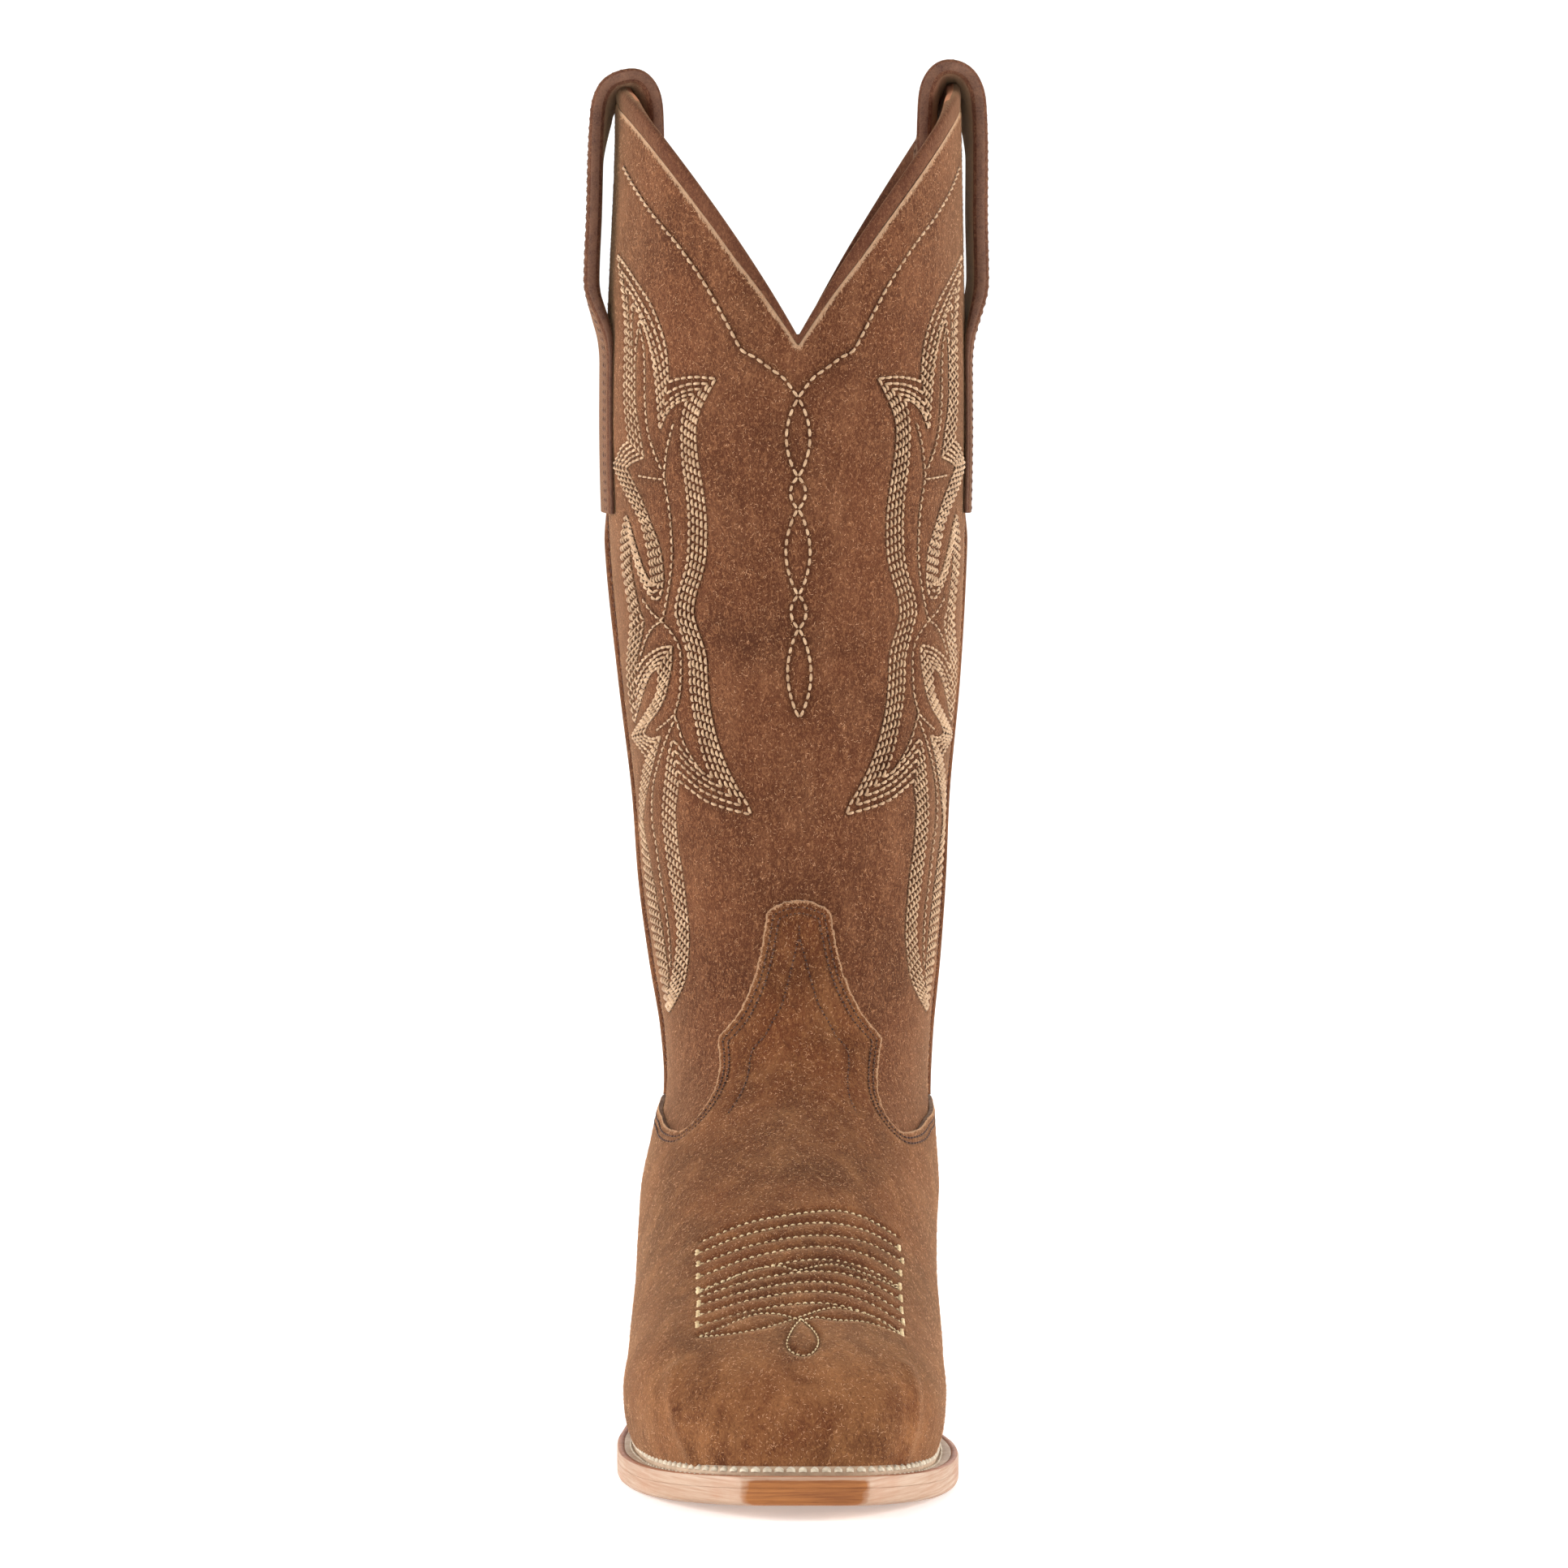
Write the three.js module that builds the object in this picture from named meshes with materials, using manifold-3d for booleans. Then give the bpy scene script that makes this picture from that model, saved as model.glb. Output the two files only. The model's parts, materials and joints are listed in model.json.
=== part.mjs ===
// A tall women's western boot for the right foot, built the way a bootmaker builds it: a lined suede upper
// of shaft panels, vamp and heel counter, lasted over an insole, welted to a leather outsole, on a stacked
// leather heel. Millimetres, +Z up, toe along -Y, medial side along +X, standing on its ball and its heel.
import * as THREE from "three";
import { mergeVertices } from "three/addons/utils/BufferGeometryUtils.js";
import Module from "manifold-3d";

const wasm = await Module();
wasm.setup();

// ---------------------------------------------------------------- driving dimensions
const GAP = 0.3; // clearance between neighbouring pieces
const SUEDE = 1.4; // thickness of a suede panel
const LINING = 1.2; // thickness of the lining leather
const TOE_Y = -142; // tip of the outsole
const HEEL_Y = 132; // back of the outsole
const BREAST_Y = 66; // front face of the heel
const TOE_SPRING = 4.6; // height of the outsole's tip above the ground
const BALL_FRONT_Y = -75; // the outsole is flat on the ground from here
const BALL_BACK_Y = -40; // to here
const SEAT_Z = 36; // underside of the outsole at the heel's front
const OUTSOLE = 5; // outsole thickness
const WELT = 3.1; // welt thickness
const WELT_WIDTH = 13; // width of the welt strip, most of it under the upper
const SCALLOP_FRONT_Z = 326; // bottom of the front scallop
const SCALLOP_BACK_Z = 307; // bottom of the back scallop
const SCALLOP_POWER = 2.25; // how steeply a scallop rises from its bottom
const EAR_Z = 400; // top of the shaft at the side seams
const STRAP_WIDTH = 32;
const STRAP = 2.6; // thickness of a pull strap
const STRAP_END = 1.8; // and at its skived lower end
const HEEL_LIFTS = 4;
const HEEL_LIFT = 6.5; // pitch of the heel lifts
const HEEL_CAP = 6; // rubber top piece
const COLUMNS = 32; // facets round the upper
const SHAFT_ROWS = 8; // facets along a shaft panel above the instep

// Layers of the upper, as distances out from the last's surface.
const LAYER_LINING = [-GAP / 2 - LINING, -GAP / 2];
const LAYER_INNER = [GAP / 2, GAP / 2 + SUEDE];
const LAYER_OUTER = [GAP * 1.5 + SUEDE, GAP * 1.5 + 2 * SUEDE];

// ---------------------------------------------------------------- the last
// The last is a run of stations from the top of the shaft to the toe. Each is a superellipse in a plane
// through its front point and its back point. half is its half width, centre its shift in X, twist its
// turn in degrees, nFront and nBack are the exponents of its front and back halves, and widest is how far
// back it is widest, as a share of its depth.
// [front y, front z, back y, back z, half, centre, twist, nFront, nBack, widest]
const STATIONS = [
  [10.5, 420, 138, 420, 50.8, -3.2, 3.2, 2.2, 2.2, 0.5],
  [11, 385, 139, 385, 50.8, -3.2, 3.2, 2.2, 2.2, 0.5],
  [12, 345, 140.5, 345, 51.8, -3.7, 3.2, 2.2, 2.2, 0.5],
  [13.5, 300, 141, 300, 53, -3.8, 3.2, 2.2, 2.2, 0.5],
  [16, 260, 139, 260, 52.2, -3.6, 3.1, 2.2, 2.2, 0.5],
  [19, 222, 135.5, 222, 49.3, -2.7, 2.8, 2.2, 2.2, 0.5],
  [21.5, 188, 131, 188, 45.7, -2.2, 2.4, 2.2, 2.2, 0.5],
  [23.5, 160, 127.5, 160, 44, -1.8, 2, 2.15, 2.1, 0.5],
  [23.5, 138, 125.5, 135, 41.6, -1.1, 1.5, 2.1, 2.0, 0.5],
  [21, 121, 126.5, 109, 38.8, -0.4, 1, 2.05, 2.0, 0.47],
  [15, 109, 130, 84, 38, -0.3, 0.5, 2, 2, 0.43],
  [4, 99, 133, 60, 39.6, -1.4, 0, 2, 2, 0.41],
  [-12, 89.5, 122, 42, 41.4, -2.5, 0, 2, 2, 0.42],
  [-31, 79.5, 88, 35, 41, -3.2, 0, 2, 2.05, 0.45],
  [-52, 68.5, 44, 22, 41.2, -3.6, 0, 2, 2.2, 0.5],
  [-74, 57.5, -4, 4, 42.2, -3.8, 0, 2.1, 2.6, 0.5],
  [-94, 48.5, -48, -1, 42.6, -4, 0, 2.25, 2.9, 0.5],
  [-110, 42, -84, -1, 38.5, -2.4, 0, 2.5, 3, 0.5],
  [-120.5, 36.5, -107, 0, 31.5, -1, 0, 2.7, 3, 0.5],
  [-127.5, 30, -120, 1, 24.5, 0, 0, 2.8, 3, 0.5],
  [-131, 21.5, -127.5, 2, 17.5, 0.8, 0, 2.8, 3, 0.5],
  [-132.3, 12, -130, 2, 13, 1.3, 0, 2.8, 3, 0.5],
  [-132.8, 3, -131.5, -6, 11, 1.5, 0, 2.8, 3, 0.5],
];
const LAST_STATION = STATIONS.length - 1;

function catmullRom(a, b, c, d, f) {
  const slope = (c - a) / 2;
  const nextSlope = (d - b) / 2;
  return b + slope * f + (3 * (c - b) - 2 * slope - nextSlope) * f * f + (2 * (b - c) + slope + nextSlope) * f ** 3;
}

// The station at a fractional index t.
function stationAt(t) {
  const clamped = Math.min(Math.max(t, 0), LAST_STATION);
  const i = Math.min(Math.floor(clamped), LAST_STATION - 1);
  const pick = (k) => STATIONS[Math.min(Math.max(k, 0), LAST_STATION)];
  return STATIONS[0].map((_, column) =>
    catmullRom(pick(i - 1)[column], pick(i)[column], pick(i + 1)[column], pick(i + 2)[column], clamped - i),
  );
}

const OUTLINE_SAMPLES = 240; // points of one half of a station before it is spaced evenly

// One half of a station from front to back, as [across, along] in shares of its half width and its depth,
// with the share of the half's length that lies before each point.
function halfOutline(t) {
  const [frontY, frontZ, backY, backZ, half, , , nFront, nBack, widest] = stationAt(t);
  const depth = Math.hypot(backY - frontY, backZ - frontZ);
  const points = [];
  let length = 0;
  for (let k = 0; k <= OUTLINE_SAMPLES; k++) {
    const angle = (Math.PI * k) / OUTLINE_SAMPLES;
    const inFront = angle < Math.PI / 2;
    const n = inFront ? nFront : nBack;
    const across = Math.sin(angle) ** (2 / n);
    const reach = Math.abs(Math.cos(angle)) ** (2 / n);
    const along = inFront ? widest * (1 - reach) : widest + (1 - widest) * reach;
    if (k > 0) {
      const [lastAcross, lastAlong] = points[k - 1];
      length += Math.hypot((across - lastAcross) * half, (along - lastAlong) * depth);
    }
    points.push([across, along, length]);
  }
  return points.map(([across, along, before]) => [across, along, before / length]);
}

const outlines = new Map();

// A point of the last's surface. u runs round it: 0 front, 0.5 medial side, -0.5 lateral side, 1 back.
function lastPoint(t, u) {
  const wrapped = u > 1 ? u - 2 : u < -1 ? u + 2 : u;
  if (!outlines.has(t)) outlines.set(t, halfOutline(t));
  const outline = outlines.get(t);
  const share = Math.abs(wrapped);
  let k = 1;
  while (k < outline.length - 1 && outline[k][2] < share) k++;
  const [before, after] = [outline[k - 1], outline[k]];
  const f = THREE.MathUtils.clamp((share - before[2]) / (after[2] - before[2]), 0, 1);
  const across = THREE.MathUtils.lerp(before[0], after[0], f) * Math.sign(wrapped);
  const along = THREE.MathUtils.lerp(before[1], after[1], f);
  const [frontY, frontZ, backY, backZ, half, centre, twist] = stationAt(t);
  const x = across * half;
  const y = (along - 0.5) * (backY - frontY);
  const turn = THREE.MathUtils.degToRad(twist);
  return new THREE.Vector3(
    centre + x * Math.cos(turn) - y * Math.sin(turn),
    (frontY + backY) / 2 + x * Math.sin(turn) + y * Math.cos(turn),
    THREE.MathUtils.lerp(frontZ, backZ, along),
  );
}

// A point at a distance out from the last's surface.
function offsetPoint(t, u, distance) {
  const step = 0.004;
  const nearTop = Math.max(t - step, 0);
  const nearToe = Math.min(t + step, LAST_STATION);
  const along = lastPoint(nearToe, u).sub(lastPoint(nearTop, u));
  const round = lastPoint(t, u + step).sub(lastPoint(t, u - step));
  const outward = along.cross(round).normalize();
  return lastPoint(t, u).addScaledVector(outward, distance);
}

// The station index at a height on the shaft, where the stations are level.
function stationAtHeight(z) {
  let low = 0;
  let high = 8;
  for (let k = 0; k < 40; k++) {
    const middle = (low + high) / 2;
    if (stationAt(middle)[1] > z) low = middle;
    else high = middle;
  }
  return (low + high) / 2;
}

// ---------------------------------------------------------------- solids
function geometryOf(vertices, triangles) {
  const geometry = new THREE.BufferGeometry();
  geometry.setAttribute("position", new THREE.Float32BufferAttribute(vertices.flatMap((v) => [v.x, v.y, v.z]), 3));
  geometry.setIndex(triangles);
  return geometry;
}

function solidFrom(geometry) {
  const bare = new THREE.BufferGeometry();
  const source = geometry.index ? geometry.toNonIndexed() : geometry;
  bare.setAttribute("position", source.getAttribute("position"));
  const merged = mergeVertices(bare, 1e-3);
  const triVerts = new Uint32Array(merged.index.array);
  const vertProperties = merged.attributes.position.array;
  const solid = new wasm.Manifold(new wasm.Mesh({ numProp: 3, vertProperties, triVerts }));
  if (solid.volume() > 0) return solid;
  for (let i = 0; i < triVerts.length; i += 3) {
    [triVerts[i + 1], triVerts[i + 2]] = [triVerts[i + 2], triVerts[i + 1]];
  }
  return new wasm.Manifold(new wasm.Mesh({ numProp: 3, vertProperties, triVerts }));
}

function geometryFrom(solid) {
  const bodies = solid.decompose().sort((a, b) => b.volume() - a.volume());
  const mesh = bodies[0].getMesh();
  const geometry = new THREE.BufferGeometry();
  geometry.setAttribute("position", new THREE.Float32BufferAttribute(mesh.vertProperties, mesh.numProp));
  geometry.setIndex(Array.from(mesh.triVerts));
  geometry.computeVertexNormals();
  return geometry;
}

// A closed skin over rings of equal length, with a flat fan over each end.
function ringSolid(rings) {
  const count = rings[0].length;
  const vertices = rings.flat();
  const triangles = [];
  for (let r = 0; r < rings.length - 1; r++) {
    for (let k = 0; k < count; k++) {
      const a = r * count + k;
      const b = r * count + ((k + 1) % count);
      triangles.push(a, b, b + count, a, b + count, a + count);
    }
  }
  for (const [ring, flip] of [
    [0, false],
    [rings.length - 1, true],
  ]) {
    const middle = rings[ring].reduce((sum, v) => sum.add(v), new THREE.Vector3()).divideScalar(count);
    vertices.push(middle);
    for (let k = 0; k < count; k++) {
      const a = ring * count + k;
      const b = ring * count + ((k + 1) % count);
      triangles.push(vertices.length - 1, flip ? a : b, flip ? b : a);
    }
  }
  return solidFrom(geometryOf(vertices, triangles));
}

// Where the upper's facets start below the shaft, closer together round the heel and over the toe.
const ANKLE_STOPS = [6.5, 7.25, 8, 8.75, 9.5, 10.1, 10.6, 11, 11.4, 11.8, 12.2];
const FOOT_STOPS = [12.6, 13, 13.5, 14.2, 15, 15.8, 16.6, 17.4, 18, 18.5, 19, 19.5, 20, 20.5, 21, 21.5, 22];

// The foot and ankle of the last, grown by a distance. It may start higher by a share of a station.
function lastSolid(distance, higher = 0) {
  const stops = [...(higher ? [ANKLE_STOPS[0] - higher] : []), ...ANKLE_STOPS, ...FOOT_STOPS];
  return ringSolid(
    stops.map((t) => Array.from({ length: COLUMNS }, (_, k) => offsetPoint(t, (2 * k) / COLUMNS - 1, distance))),
  );
}

// A sheet between two grids of points that share their outline, closed along its four edges.
function sheetSolid(rows, columns, place) {
  const vertices = [];
  for (const side of [0, 1]) {
    for (let r = 0; r <= rows; r++) {
      for (let c = 0; c <= columns; c++) vertices.push(place(r / rows, c / columns, side));
    }
  }
  const at = (side, r, c) => side * (rows + 1) * (columns + 1) + r * (columns + 1) + c;
  const triangles = [];
  const quad = (a, b, c, d) => triangles.push(a, b, c, a, c, d);
  for (let r = 0; r < rows; r++) {
    for (let c = 0; c < columns; c++) {
      quad(at(0, r, c), at(0, r, c + 1), at(0, r + 1, c + 1), at(0, r + 1, c));
      quad(at(1, r, c), at(1, r + 1, c), at(1, r + 1, c + 1), at(1, r, c + 1));
    }
    quad(at(0, r, 0), at(0, r + 1, 0), at(1, r + 1, 0), at(1, r, 0));
    quad(at(0, r, columns), at(1, r, columns), at(1, r + 1, columns), at(0, r + 1, columns));
  }
  for (let c = 0; c < columns; c++) {
    quad(at(0, 0, c), at(1, 0, c), at(1, 0, c + 1), at(0, 0, c + 1));
    quad(at(0, rows, c), at(0, rows, c + 1), at(1, rows, c + 1), at(1, rows, c));
  }
  return solidFrom(geometryOf(vertices, triangles));
}

const REACH = 600; // longer than the boot in every direction

// A solid whose side view is the outline [[y, z], ...].
function sideCutter(outline) {
  const shape = new THREE.Shape(outline.map(([y, z]) => new THREE.Vector2(y, z)));
  const geometry = new THREE.ExtrudeGeometry(shape, { depth: REACH, bevelEnabled: false });
  geometry.translate(0, 0, -REACH / 2);
  const basis = new THREE.Matrix4().makeBasis(
    new THREE.Vector3(0, 1, 0),
    new THREE.Vector3(0, 0, 1),
    new THREE.Vector3(1, 0, 0),
  );
  return solidFrom(geometry.applyMatrix4(basis));
}

// A solid whose front view is the outline [[x, z], ...].
function frontCutter(outline) {
  const shape = new THREE.Shape(outline.map(([x, z]) => new THREE.Vector2(x, z)));
  const geometry = new THREE.ExtrudeGeometry(shape, { depth: REACH, bevelEnabled: false });
  geometry.translate(0, 0, -REACH / 2);
  return solidFrom(geometry.rotateX(Math.PI / 2));
}

// ---------------------------------------------------------------- the bottom's curves
const PLATE_MIDDLE = (TOE_Y + HEEL_Y) / 2;
const PLATE_HALF = (HEEL_Y - TOE_Y) / 2;
const PLATE_STEP = 9; // facets along the soles
const PLATE_ENDS = [0.9, 2.4, 5]; // closer facets at a sole's round ends
const PLATE_STOPS = [BREAST_Y];
for (let y = TOE_Y + PLATE_STEP; y < HEEL_Y; y += PLATE_STEP) {
  if (Math.abs(y - BREAST_Y) > 2) PLATE_STOPS.push(y);
}

// Underside of the outsole: toe spring, flat ball, arch, and a rising heel seat.
function outsoleBottom(y) {
  if (y < BALL_FRONT_Y) return TOE_SPRING * ((BALL_FRONT_Y - y) / (BALL_FRONT_Y - TOE_Y)) ** 2;
  if (y < BALL_BACK_Y) return 0;
  const rise = Math.min((y - BALL_BACK_Y) / (BREAST_Y - BALL_BACK_Y), 1);
  const arch = SEAT_Z * (1.9 * rise ** 2 - 0.9 * rise ** 3);
  return y < BREAST_Y ? arch : SEAT_Z + 8 * Math.sin(((y - BREAST_Y) / (HEEL_Y - BREAST_Y)) * (Math.PI / 2));
}

const WELT_LOW = OUTSOLE + GAP;
const WELT_HIGH = WELT_LOW + WELT;
const FEATHER = WELT_HIGH + GAP; // the upper and the insole start this far above the outsole's underside

const weltTop = (y) => outsoleBottom(y) + FEATHER;

// The outsole's outline: [y, lateral x, medial x].
const OUTLINE = [
  [-142, -13, 16],
  [-141.2, -16, 19],
  [-138, -19.5, 22],
  [-130, -27.5, 28.5],
  [-119, -36, 35.2],
  [-108, -42, 39.8],
  [-92, -47.8, 43.8],
  [-75, -51.4, 45.6],
  [-57, -52.4, 44.8],
  [-40, -52, 41.8],
  [-20, -49, 37.5],
  [5, -42, 33.8],
  [30, -37.8, 31.8],
  [50, -35, 31.4],
  [66, -33.5, 31.6],
  [90, -32.2, 31.4],
  [108, -28.6, 28.2],
  [120, -22.6, 22.8],
  [127, -16.4, 17],
  [130.6, -10.4, 11.6],
  [132, -4, 5.4],
];

// The outline's x in a column of the table at y, on a smooth curve through the table's points.
function outlineX(y, column) {
  const last = OUTLINE.length - 1;
  const at = THREE.MathUtils.clamp(y, TOE_Y, HEEL_Y);
  let i = 0;
  while (i < last - 1 && OUTLINE[i + 1][0] < at) i++;
  const slope = (k) => {
    const [a, b] = [OUTLINE[Math.max(k - 1, 0)], OUTLINE[Math.min(k + 1, last)]];
    return (b[column] - a[column]) / (b[0] - a[0]);
  };
  const [start, end] = [OUTLINE[i], OUTLINE[i + 1]];
  const length = end[0] - start[0];
  const f = (at - start[0]) / length;
  const rise = end[column] - start[column];
  const [p, q] = [slope(i) * length - rise, rise - slope(i + 1) * length];
  return start[column] + rise * f + f * (1 - f) * ((1 - f) * p + f * q);
}

// The lateral and medial x of the outline at y, drawn in by inset all round.
function outlineAt(y, inset) {
  const at = PLATE_MIDDLE + ((y - PLATE_MIDDLE) * PLATE_HALF) / (PLATE_HALF - inset);
  return [Math.min(outlineX(at, 1) + inset, -0.5), Math.max(outlineX(at, 2) - inset, 0.5)];
}

// A plate under the foot, from low(y) to high(y), between two places along the foot.
function footPlate(inset, low, high, fromY = TOE_Y, toY = HEEL_Y) {
  const first = Math.max(fromY, TOE_Y + inset);
  const final = Math.min(toY, HEEL_Y - inset);
  const rounded = PLATE_ENDS.flatMap((step) => [TOE_Y + inset + step, HEEL_Y - inset - step]);
  const inside = (y) => y > first + 0.4 && y < final - 0.4;
  const stops = [first, ...[...PLATE_STOPS, ...rounded].filter(inside), final].sort((a, b) => a - b);
  return sheetSolid(stops.length - 1, 1, (row, column, side) => {
    const y = stops[Math.round(row * (stops.length - 1))];
    const x = outlineAt(y, inset)[column];
    return new THREE.Vector3(x, y, side ? low(y) : high(y));
  });
}

// ---------------------------------------------------------------- cutters shared by the upper's pieces
function lineRegion(points, side) {
  const ends = side === "above" ? REACH : -REACH;
  const [first, last] = [points[0], points[points.length - 1]];
  return sideCutter([...points, [last[0], ends], [first[0], ends]]);
}

function aboveWelt() {
  const ends = [-REACH, TOE_Y, HEEL_Y, REACH];
  const stops = [...PLATE_STOPS, ...ends].sort((a, b) => a - b);
  return lineRegion(stops.map((y) => [y, weltTop(THREE.MathUtils.clamp(y, TOE_Y, HEEL_Y))]), "above");
}

// The side seam from the sole to the top, seen from the side: everything in front of it or behind it.
function seamRegion(side, shift = 0) {
  const seam = [
    [50, -50],
    [66, 60],
    [72, 100],
    [75.5, 200],
    [75.5, 500],
  ].map(([y, z]) => [y + shift, z]);
  const far = side === "front" ? -REACH : REACH;
  return sideCutter([...seam, [far, 500], [far, -50]]);
}

// The line under the vamp and counter where the shaft panels stop.
const SHAFT_END = [
  [-REACH, 80],
  [60, 80],
  [150, 92],
  [REACH, 92],
];
const shiftedLine = (points, dz) => points.map(([y, z]) => [y, z + dz]);

// ---------------------------------------------------------------- the scallops
// Height of the top edge at a place round the shaft.
function topEdge(u) {
  const fromFront = Math.abs(u) <= 0.5;
  const share = (fromFront ? Math.abs(u) : 1 - Math.abs(u)) / 0.5;
  const low = fromFront ? SCALLOP_FRONT_Z : SCALLOP_BACK_Z;
  return low + (EAR_Z - low) * (1 - (1 - share) ** SCALLOP_POWER);
}

// How far the bead stands above the panel's cut edge: less at the bottom of the scallop.
function beadHeight(u) {
  const share = (Math.abs(u) <= 0.5 ? Math.abs(u) : 1 - Math.abs(u)) / 0.5;
  return 2.8 + 3.4 * Math.min(share / 0.2, 1);
}

// ---------------------------------------------------------------- the upper
const SIDE_GAP = 0.002; // half the gap at a side seam, in u

function shaftSheet(from, to, [inside, outside]) {
  const rows = SHAFT_ROWS + ANKLE_STOPS.length - 1;
  return sheetSolid(rows, COLUMNS / 2, (row, column, side) => {
    const u = THREE.MathUtils.lerp(from + SIDE_GAP, to - SIDE_GAP, column);
    const wrapped = u > 1 ? u - 2 : u;
    const start = stationAtHeight(topEdge(wrapped) - beadHeight(wrapped) - GAP);
    const k = Math.round(row * rows);
    const t = k < SHAFT_ROWS ? THREE.MathUtils.lerp(start, ANKLE_STOPS[0], k / SHAFT_ROWS) : ANKLE_STOPS[k - SHAFT_ROWS];
    return offsetPoint(t, u, side ? outside : inside);
  });
}

function beadSheet(from, to) {
  const [inside] = LAYER_LINING;
  const [, outside] = LAYER_INNER;
  return sheetSolid(1, COLUMNS / 2, (row, column, side) => {
    const u = THREE.MathUtils.lerp(from + SIDE_GAP, to - SIDE_GAP, column);
    const wrapped = u > 1 ? u - 2 : u;
    const height = topEdge(wrapped) - row * beadHeight(wrapped);
    return offsetPoint(stationAtHeight(height), u, side ? outside - 0.2 : inside + 0.2);
  });
}

// The vamp's top line seen from the front: the tongue, its two corners, and the wings to the side seams.
const TONGUE_HALF = [
  [0, 157.5],
  [5, 156.8],
  [9.8, 153.5],
  [10.6, 146],
  [12, 139],
  [14.2, 131.5],
  [17.6, 125.6],
  [21, 121.6],
  [24.4, 118.2],
  [24, 112],
  [24.2, 107],
  [25.2, 101.5],
  [27.2, 96],
  [29.6, 91.6],
  [32.4, 89],
  [36, 89.2],
  [39.5, 91.4],
  [60, 94],
];
const tongueLine = () => [...TONGUE_HALF.slice(1).reverse().map(([x, z]) => [-x, z]), ...TONGUE_HALF];

// The counter's top line seen from the back.
const COUNTER_HALF = [
  [0, 141],
  [6, 139.5],
  [11, 134],
  [14, 124],
  [18, 114],
  [25, 105],
  [34, 98],
  [60, 92.5],
];
const counterLine = () => [...COUNTER_HALF.slice(1).reverse().map(([x, z]) => [-x, z]), ...COUNTER_HALF];

function belowFrontLine(line) {
  return frontCutter([...line, [60, -50], [-60, -50]]);
}

const tube = ([inside, outside]) => lastSolid(outside).subtract(lastSolid(inside, 0.5));

const overWelt = aboveWelt();
const frontHalf = seamRegion("front", -GAP / 2);
const backHalf = seamRegion("back", GAP / 2);
const aboveShaftEnd = lineRegion(shiftedLine(SHAFT_END, GAP / 2), "above");
const belowShaftEnd = lineRegion(shiftedLine(SHAFT_END, -GAP / 2), "below");

const outerTube = tube(LAYER_OUTER).intersect(overWelt);
const innerTube = tube(LAYER_INNER).intersect(overWelt).intersect(belowShaftEnd);
const liningTube = tube(LAYER_LINING).intersect(overWelt).intersect(belowShaftEnd);

const TOE_PUFF_Y = -88; // back edge of the stiffener over the toes
const beforeY = (y) => sideCutter([[-REACH, -REACH], [y, -REACH], [y, REACH], [-REACH, REACH]]);
const behindY = (y) => sideCutter([[y, -REACH], [REACH, -REACH], [REACH, REACH], [y, REACH]]);

const vamp = outerTube.intersect(frontHalf).intersect(belowFrontLine(tongueLine()));
const counterCover = outerTube.intersect(backHalf).intersect(belowFrontLine(counterLine()));
const toePuff = innerTube.intersect(beforeY(TOE_PUFF_Y));
const vampInterlining = innerTube.intersect(frontHalf).intersect(behindY(TOE_PUFF_Y + GAP));
const counterStiffener = innerTube.intersect(backHalf);
const vampLining = liningTube.intersect(frontHalf);
const heelLining = liningTube.intersect(backHalf);

const shaftFront = shaftSheet(-0.5, 0.5, LAYER_INNER).intersect(aboveShaftEnd);
const shaftBack = shaftSheet(0.5, 1.5, LAYER_INNER).intersect(aboveShaftEnd);
const liningFront = shaftSheet(-0.5, 0.5, LAYER_LINING).intersect(aboveShaftEnd);
const liningBack = shaftSheet(0.5, 1.5, LAYER_LINING).intersect(aboveShaftEnd);

// The folded strip that covers a side seam, from under the pull strap to the vamp's wing.
function sideWelt(centre) {
  const halfWidth = 0.011;
  const [low] = LAYER_OUTER;
  return sheetSolid(12, 2, (row, column, side) => {
    const t = THREE.MathUtils.lerp(stationAtHeight(269), 9.3, row);
    const crown = column === 0.5 ? 0.5 : 0;
    return offsetPoint(t, centre + (column - 0.5) * 2 * halfWidth, side ? low + 0.6 + crown : low);
  });
}

// A pull strap: [height, distance out from the last] down its middle, from its outer end to its inner end.
const STRAP_PATH = [
  [272, 3],
  [292, 3.2],
  [312, 3.4],
  [330, 3.7],
  [338, 5],
  [346, 6.2],
  [360, 6.2],
  [375, 6.4],
  [388, 6.3],
  [396, 5.2],
  [402, 2.2],
  [404, -1.6],
  [402.4, -5.8],
  [397, -8.8],
  [388, -9.4],
  [378, -9.3],
  [367, -7.6],
  [357, -3.9],
  [350, -3.1],
  [340, -3],
];
const STRAP_ROWS = 30;

function pullStrap(centre, flare, lift) {
  const path = new THREE.CatmullRomCurve3(STRAP_PATH.map(([z, out]) => new THREE.Vector3(z, out, 0)));
  return sheetSolid(STRAP_ROWS, 4, (row, column, side) => {
    const point = path.getPoint(row);
    const direction = path.getTangent(row);
    const skived = THREE.MathUtils.smoothstep(point.x, STRAP_PATH[0][0], 335);
    const shift = (side ? 1 : -1) * THREE.MathUtils.lerp(STRAP_END, STRAP, skived) * 0.5;
    const across = column - 0.5;
    const free = THREE.MathUtils.smoothstep(point.x, 334, 350) * THREE.MathUtils.smoothstep(point.y, -2, 4);
    const out = point.y + direction.x * shift + flare * free * Math.abs(centre > 0 ? across - 0.5 : across + 0.5);
    const raised = lift * THREE.MathUtils.smoothstep(point.x, 345, 395);
    const height = point.x + raised - direction.y * shift;
    const halfAround = 152; // half of the shaft's girth there
    return offsetPoint(stationAtHeight(height), centre + (across * STRAP_WIDTH) / halfAround, out);
  });
}

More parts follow.
